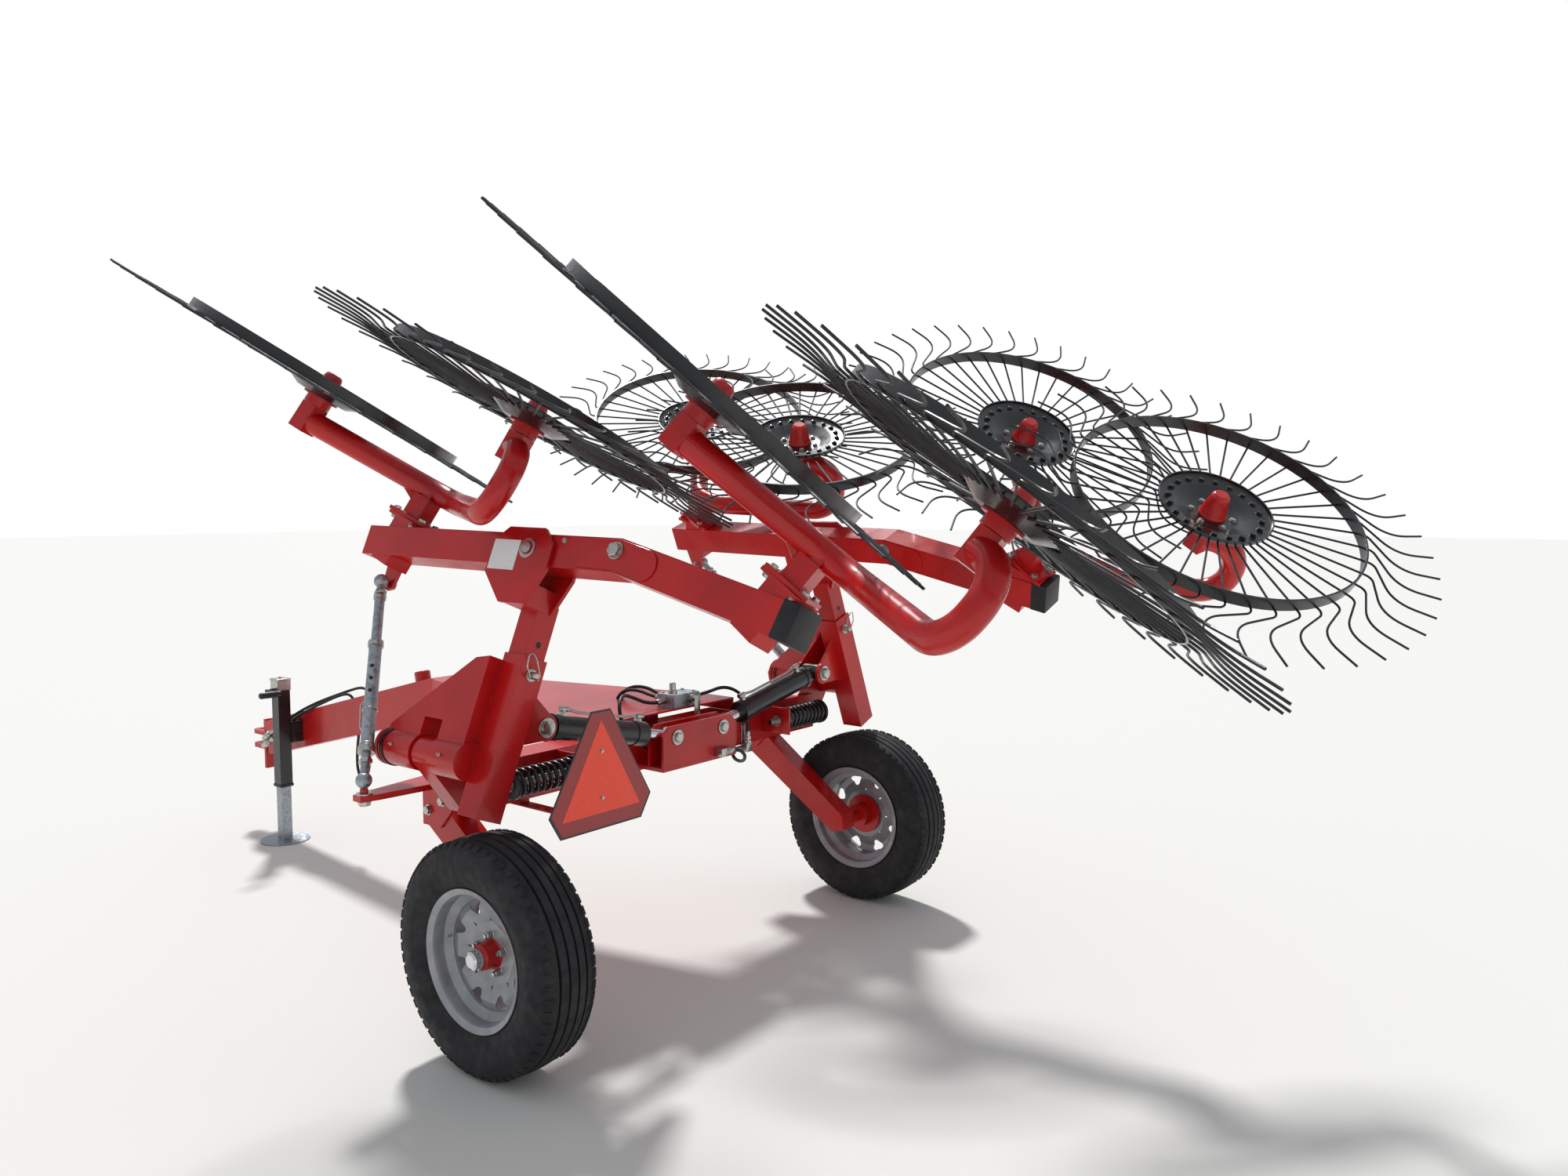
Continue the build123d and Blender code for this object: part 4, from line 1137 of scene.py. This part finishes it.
valve = {"x": (0.030, 0.165), "y": (0.215, 0.300), "base": 0.8916, "high": 0.048, "boltIn": (0.016, 0.014),
         "knobBack": 0.030, "stemOut": 0.022, "leverTurn": 16}


def portFitting(bm, start, direction, size=0.011, long=0.046):
    # hex body, swivel nut and hose ferrule of a hydraulic end fitting
    place = alongAxis(start, direction)
    for segments, profile in (
            (6, [(0, 0), (1.25, 0), (1.25, 0.20), (0.8, 0.22), (0, 0.22)]),
            (20, [(0, 0.2), (0.8, 0.2), (0.8, 0.32), (0, 0.32)]),
            (6, [(0, 0.3), (1.15, 0.3), (1.15, 0.55), (0, 0.55)]),
            (24, [(0, 0.5), (0.95, 0.55), (1, 0.6), (1, 0.95), (0.9, 1), (0, 1)])):
        lathe(bm, [(size * r, long * z) for r, z in profile], segments, place)


hose = {"radius": 0.0065, "fitting": 0.046}
hoseRoutes = {
    # route points in the machine frame, metres; both ends meet a fitting
    "valveLeft": [(-0.016, 0.258, 0.915), (-0.06, 0.257, 0.917), (-0.14, 0.250, 0.950),
                  (-0.215, 0.225, 0.975), (-0.268, 0.190, 0.955), (-0.280, 0.170, 0.900),
                  (-0.245, 0.161, 0.840), (-0.180, 0.158, 0.790), (-0.120, 0.158, 0.768),
                  (-0.076, 0.158, 0.768)],
    "valveRight": [(0.211, 0.258, 0.915), (0.255, 0.256, 0.917), (0.320, 0.235, 0.935),
                   (0.372, 0.205, 0.915), (0.400, 0.184, 0.870), (0.409, 0.182, 0.810),
                   (0.407, 0.182, 0.755)],
    "lowerRight": [(0.146, 0.034, 0.745), (0.180, 0.034, 0.741), (0.222, 0.040, 0.712),
                   (0.258, 0.075, 0.678), (0.286, 0.130, 0.664), (0.308, 0.172, 0.670),
                   (0.324, 0.189, 0.686), (0.344, 0.190, 0.690)],
    "supplyA": [(0.075, 0.346, 0.915), (0.074, 0.380, 0.918), (0.070, 0.425, 0.930),
                (0.060, 0.475, 0.932), (0.052, 0.515, 0.916), (0.050, 0.530, 0.8925)],
    "supplyB": [(0.118, 0.346, 0.915), (0.117, 0.380, 0.918), (0.110, 0.430, 0.938),
                (0.098, 0.490, 0.938), (0.090, 0.535, 0.918), (0.088, 0.552, 0.8925)],
    "tongueA": [(0.012, 2.140, 0.734), (0.012, 2.160, 0.766), (0.006, 2.205, 0.776),
                (-0.004, 2.290, 0.752), (-0.022, 2.400, 0.716), (-0.050, 2.500, 0.678),
                (-0.076, 2.590, 0.636), (-0.086, 2.680, 0.590), (-0.090, 2.760, 0.545),
                (-0.094, 2.820, 0.512)],
    "tongueB": [(-0.014, 2.235, 0.711), (-0.014, 2.258, 0.735), (-0.020, 2.300, 0.738),
                (-0.034, 2.380, 0.712), (-0.056, 2.460, 0.676), (-0.076, 2.540, 0.640),
                (-0.084, 2.630, 0.596), (-0.086, 2.710, 0.551), (-0.090, 2.775, 0.508),
                (-0.094, 2.830, 0.474)],
    "tongueLoop": [(0.0, 2.226, 0.548), (-0.001, 2.232, 0.515), (-0.003, 2.240, 0.450),
                   (-0.006, 2.234, 0.385), (-0.009, 2.200, 0.338), (-0.009, 2.158, 0.350),
                   (-0.006, 2.136, 0.400), (-0.003, 2.130, 0.465), (-0.001, 2.130, 0.530),
                   (0.0, 2.132, 0.571)],
}
hoseEnds = {
    # way of the fitting at each end, out of the hose and into its port, or nothing where it enters a hole
    "valveLeft": ((1, 0, 0), (1, 0, 0)), "valveRight": ((-1, 0, 0), (0, 0, -1)),
    "lowerRight": ((-1, 0, 0), (1, 0, 0)), "supplyA": ((0, -1, 0), None), "supplyB": ((0, -1, 0), None),
    "tongueA": (None, (-0.1, 0.85, -0.5)), "tongueB": (None, (-0.1, 0.85, -0.5)), "tongueLoop": (None, None),
}


def hoseCurve(name, route):
    curve = bpy.data.curves.new(name, "CURVE")
    curve.dimensions = "3D"
    spline = curve.splines.new("NURBS")
    spline.points.add(len(route) - 1)
    for point, place in zip(spline.points, route):
        point.co = (*place, 1)
    spline.order_u = 3
    spline.use_endpoint_u = True
    spline.resolution_u = 8
    curve.bevel_depth = hose["radius"]
    curve.bevel_resolution = 3
    curve.use_fill_caps = True
    curve.materials.append(paints["hose"])
    return linked(f"hose_{name}", curve)


def makeHoses():
    for name, points in hoseRoutes.items():
        route = [machineFrame @ Vector(point) for point in points]
        piece = hoseCurve(name, route)
        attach(piece, "frame")
        both = zip((route[0], route[-1]), hoseEnds[name])
        ends = [(place, Vector(way).normalized()) for place, way in both if way]

        def endFittings(bm):
            for place, direction in ends:
                portFitting(bm, place + direction * hose["fitting"], -direction)

        if ends:
            label = f"hoseEnds_{name}"
            finishPiece(label, built(label, endFittings), "zinc", "frame", 30)
    print("hoses made:", len(hoseRoutes))


# steel blocks on the frame at the far ends of the short hoses: size and centre
portBlocks = (((0.034, 0.032, 0.036), (0.407, 0.189, 0.691)),
              ((0.028, 0.073, 0.030), (-0.016, 0.1685, 0.768)),
              ((0.028, 0.036, 0.030), (0.086, 0.040, 0.745)), ((0.034, 0.006, 0.090), (0.407, 0.202, 0.735)))


def makeValve():
    (x0, x1), (y0, y1) = valve["x"], valve["y"]
    base, high, middle = valve["base"], valve["base"] + valve["high"], (x0 + x1) / 2
    stemX = middle + valve["stemOut"]

    def details(bm):
        peg(bm, [(0, 0), (0.017, 0), (0.017, 0.010), (0.012, 0.013), (0.012, 0.034), (0.009, 0.038),
                 (0, 0.038)], 24, (middle - valve["knobBack"], (y0 + y1) / 2, high), (0, 0, 1))
        inX, inY = valve["boltIn"]
        for x in (x0 + inX, x1 - inX):
            for y in (y0 + inY, y1 - inY):
                hexBolt(bm, (x, y, high), (0, 0, 1), 0.007, False)
        peg(bm, [(0, 0), (0.015, 0), (0.015, 0.012), (0.008, 0.014), (0.008, 0.030), (0, 0.030)], 24,
            (stemX, y0, base + 0.026), (0, -1, 0))
        block(bm, (0.030, 0.004, 0.090), Matrix.Translation((stemX, y0 - 0.032, base - 0.005)), 0.0015)
        for size, centre in portBlocks:
            block(bm, size, Matrix.Translation(centre), 0.002)

    dressed("valveDetails", "zinc", "frame", machineFrame, details, 30, "right")

    def lever(bm):
        turn = Matrix.Rotation(radians(valve["leverTurn"]), 4, "Y")
        centre = Matrix.Translation((middle + 0.014, y0 - 0.036, base - 0.070))
        block(bm, (0.024, 0.010, 0.074), centre @ turn, 0.004)

    dressed("valveLever", "brass", "frame", machineFrame, lever, 30, "right")
    print("valve made")


barrel = {"radius": 0.039, "start": 0.062, "end": 0.470, "portIn": 0.030, "glandLong": 0.052,
          "capLong": 0.022, "past": 0.001, "proud": 0.003, "lineUp": 0.020, "lineLow": 0.013}


def makeBarrelFittings():
    start = Vector(joints["cylinder_right_pivot"]["pos_m"])
    along = Vector(joints["rod_right_stroke"]["axis"])
    side = Vector((0, -1, 0))
    up = along.cross(side).normalized()
    if up.z < 0:
        up = -up
    place = Matrix.Translation(start) @ Matrix((side, up, side.cross(up))).transposed().to_4x4()
    way = 1 if side.cross(up).dot(along) > 0 else -1
    radius, inward = barrel["radius"], barrel["portIn"]
    nearPort, farPort = barrel["start"] + inward, barrel["end"] - inward

    def ends(bm):
        inner, outer, past = radius - 0.002, radius + barrel["proud"], barrel["past"]
        gland = (barrel["end"] - barrel["glandLong"], barrel["end"] + past)
        base = (barrel["start"] - past, barrel["start"] + barrel["capLong"])
        for low, high in (gland, base):
            a, b = sorted((way * low, way * high))
            lathe(bm, [(inner, a), (outer, a + 0.001), (outer, b - 0.001), (inner, b)], 48, closed=True)

    dressed("barrelCollars", "black", "cylinder", place, ends, 30)

    def ports(bm):
        for z in (nearPort + 0.012, farPort):
            peg(bm, [(0, 0), (0.013, 0), (0.013, 0.012), (0.010, 0.014), (0.010, 0.018), (0, 0.018)], 6,
                (0, radius - 0.002, way * z), (0, 1, 0))
            peg(bm, [(0, 0), (0.009, 0), (0.009, 0.030), (0, 0.030)], 20,
                (0, radius + barrel["lineUp"], way * (z - 0.012)), (0, 0, way))

    dressed("barrelPorts", "zinc", "cylinder", place, ports, 30)
    steps = ((barrel["lineUp"], nearPort + 0.030), (barrel["lineLow"], nearPort + 0.075),
             (barrel["lineLow"], farPort - 0.060), (barrel["lineUp"], farPort - 0.012))
    wirePiece("barrelLine", [(0, radius + out, way * z) for out, z in steps], 0.005, 0.030, "cylinder", place)
    print("barrel fittings made")


jack = {"x": -0.142, "y": 2.660, "top": 0.780, "half": 0.030, "bottom": 0.265, "sleeveIn": 0.0005,
        "gripOut": 0.055, "gripForward": 0.125, "gripDown": 0.040}
tongue = {"post": (0.0, 1.700, 0.848), "postAlong": (0, 0.24, 1), "couplerOut": 0.040,
          "hitchFace": 3.0025, "hitchX": (-0.036, 0.036), "hitchZ": (0.330, 0.480)}


def makeTongueFittings():
    x, y, half, top = jack["x"], jack["y"], jack["half"], jack["top"]
    inner = half - jack["sleeveIn"]

    def onFrame(name, paint, build):
        dressed(name, paint, "frame", machineFrame, build, 35, "right")

    def cap(bm):
        squareSleeve(bm, (x, y, top - 0.020), inner, 0.033, 0.050)
        block(bm, (0.070, 0.074, 0.010), Matrix.Translation((x, y + 0.002, top + 0.008)), 0.002)
        hexBolt(bm, (x, y, top + 0.013), (0, 0, 1), 0.010)

    def grip(bm):
        end = (x - half - jack["gripOut"], y - jack["gripForward"], top - jack["gripDown"])
        peg(bm, [(0, 0), (0.0135, 0), (0.0155, 0.004), (0.0145, 0.020), (0.0155, 0.040), (0.0145, 0.060),
                 (0.0150, 0.078), (0.0120, 0.084), (0, 0.085)], 28, end, (-1, 0, 0))
        squareSleeve(bm, (x, y, jack["bottom"] + 0.008), inner, 0.03325, 0.016)

    def tonguePost(bm):
        peg(bm, [(0.0, 0), (0.034, 0), (0.034, 0.046), (0.030, 0.050), (0.0, 0.050)], 32, tongue["post"],
            tongue["postAlong"])

    def couplers(bm):
        for name in ("tongueA", "tongueB"):
            end, direction = Vector(hoseRoutes[name][-1]), Vector(hoseEnds[name][1]).normalized()
            peg(bm, [(0, 0), (0.014, 0), (0.014, 0.012), (0.017, 0.014), (0.017, 0.040), (0.012, 0.043),
                     (0.012, 0.062), (0, 0.064)], 24, end + direction * tongue["couplerOut"], direction)

    def hitchBolts(bm):
        for across in tongue["hitchX"]:
            for z in tongue["hitchZ"]:
                hexBolt(bm, (across, tongue["hitchFace"], z), (0, 1, 0), 0.014)

    onFrame("jackCap", "zinc", cap)
    onFrame("jackGrip", "hose", grip)
    onFrame("tonguePost", "red", tonguePost)
    onFrame("couplers", "zinc", couplers)
    onFrame("hitchBolts", "zinc", hitchBolts)
    print("tongue fittings made")


# Carried-over CAD nodes keep their shape and get their finish

def paintCadNodes():
    finishes = {
        "red": ("main_frame", "anchor", "drawbar", "deck", "hitch", "sign_bracket", "leg", "arm", "head",
                "beam", "rocker"),
        "black": ("jack_housing", "barrel"),
        "galvanised": ("jack_leg", "link", "valve_block"),
        "chrome": ("piston_rod",),
    }
    for node, obj in frame["nodes"].items():
        for code, starts in finishes.items():
            if node.startswith(starts):
                obj.data.materials.clear()
                obj.data.materials.append(paints[code])
    print("CAD nodes painted")


# Camera, lights and floor

photoCamera = {"focalPixels": 1465, "photoWide": 2000, "sensor": 36, "pitchDown": 4.2, "heading": 51.96,
               "place": (-2.973, -2.641, 1.633), "farthest": 200}
studio = {"floor": "#D9D7D2", "floorHalf": 60, "floorDown": 0.0005, "sky": "#FFFFFF", "fillColour": "#EEF3FA",
          "fill": 0.62, "sunStrength": 3.1, "sunSoft": 6, "sunFrom": (0.55, 0.75, 1.25)}


def makeCamera():
    c = photoCamera
    camera = bpy.data.cameras.new("photoCamera")
    camera.sensor_width = c["sensor"]
    camera.lens = c["focalPixels"] / c["photoWide"] * c["sensor"]
    camera.clip_end = c["farthest"]
    holder = linked("photoCamera", camera)
    heading, down = radians(c["heading"]), radians(c["pitchDown"])
    look = Vector((sin(heading) * cos(down), cos(heading) * cos(down), -sin(down)))
    holder.rotation_euler = look.to_track_quat("-Z", "Y").to_euler()
    holder.location = machineFrame @ Vector(c["place"])
    bpy.context.scene.camera = holder


def makeWorld():
    # soft pale light on the object, and a white backdrop that only the camera sees
    world = bpy.data.worlds.new("studio")
    world.use_nodes = True
    tree = world.node_tree
    fill = tree.nodes["Background"]
    fill.inputs["Color"].default_value = linear(studio["fillColour"])
    fill.inputs["Strength"].default_value = studio["fill"]
    backdrop = addNode(tree, "ShaderNodeBackground", None, {"Color": linear(studio["sky"]), "Strength": 1.0})
    rays = addNode(tree, "ShaderNodeLightPath").outputs["Is Camera Ray"]
    mixed = addNode(tree, "ShaderNodeMixShader", None, {0: rays, 1: fill.outputs[0], 2: backdrop.outputs[0]})
    tree.links.new(mixed.outputs[0], tree.nodes["World Output"].inputs["Surface"])
    bpy.context.scene.world = world


def makeStudio():
    makeWorld()
    sun = bpy.data.lights.new("sun", "SUN")
    sun.energy = studio["sunStrength"]
    sun.angle = radians(studio["sunSoft"])
    linked("sun", sun).rotation_euler = Vector(studio["sunFrom"]).to_track_quat("Z", "Y").to_euler()

    def grid(bm):
        bmesh.ops.create_grid(bm, x_segments=1, y_segments=1, size=studio["floorHalf"])

    material, _, shader, _ = startMaterial("paleFloor", 0, 0.9)
    shader.inputs["Base Color"].default_value = linear(studio["floor"])
    mesh = built("floor", grid, fix=False)
    mesh.materials.append(material)
    floor = linked("floor", mesh)
    floor.location.z = -studio["floorDown"]


makeCamera()
makeHoses()
paintCadNodes()
makeRakeWheels()
makeRoadWheels()
makeSprings()
makeSign()
makeArmFittings()
makeHeadFittings()
makeBeamFittings()
makeRockerFittings()
makeLinkFittings()
makeFrameFittings()
makeValve()
makeBarrelFittings()
makeTongueFittings()
makeStudio()
bpy.context.scene.view_settings.view_transform = "Standard"
bpy.context.view_layer.update()
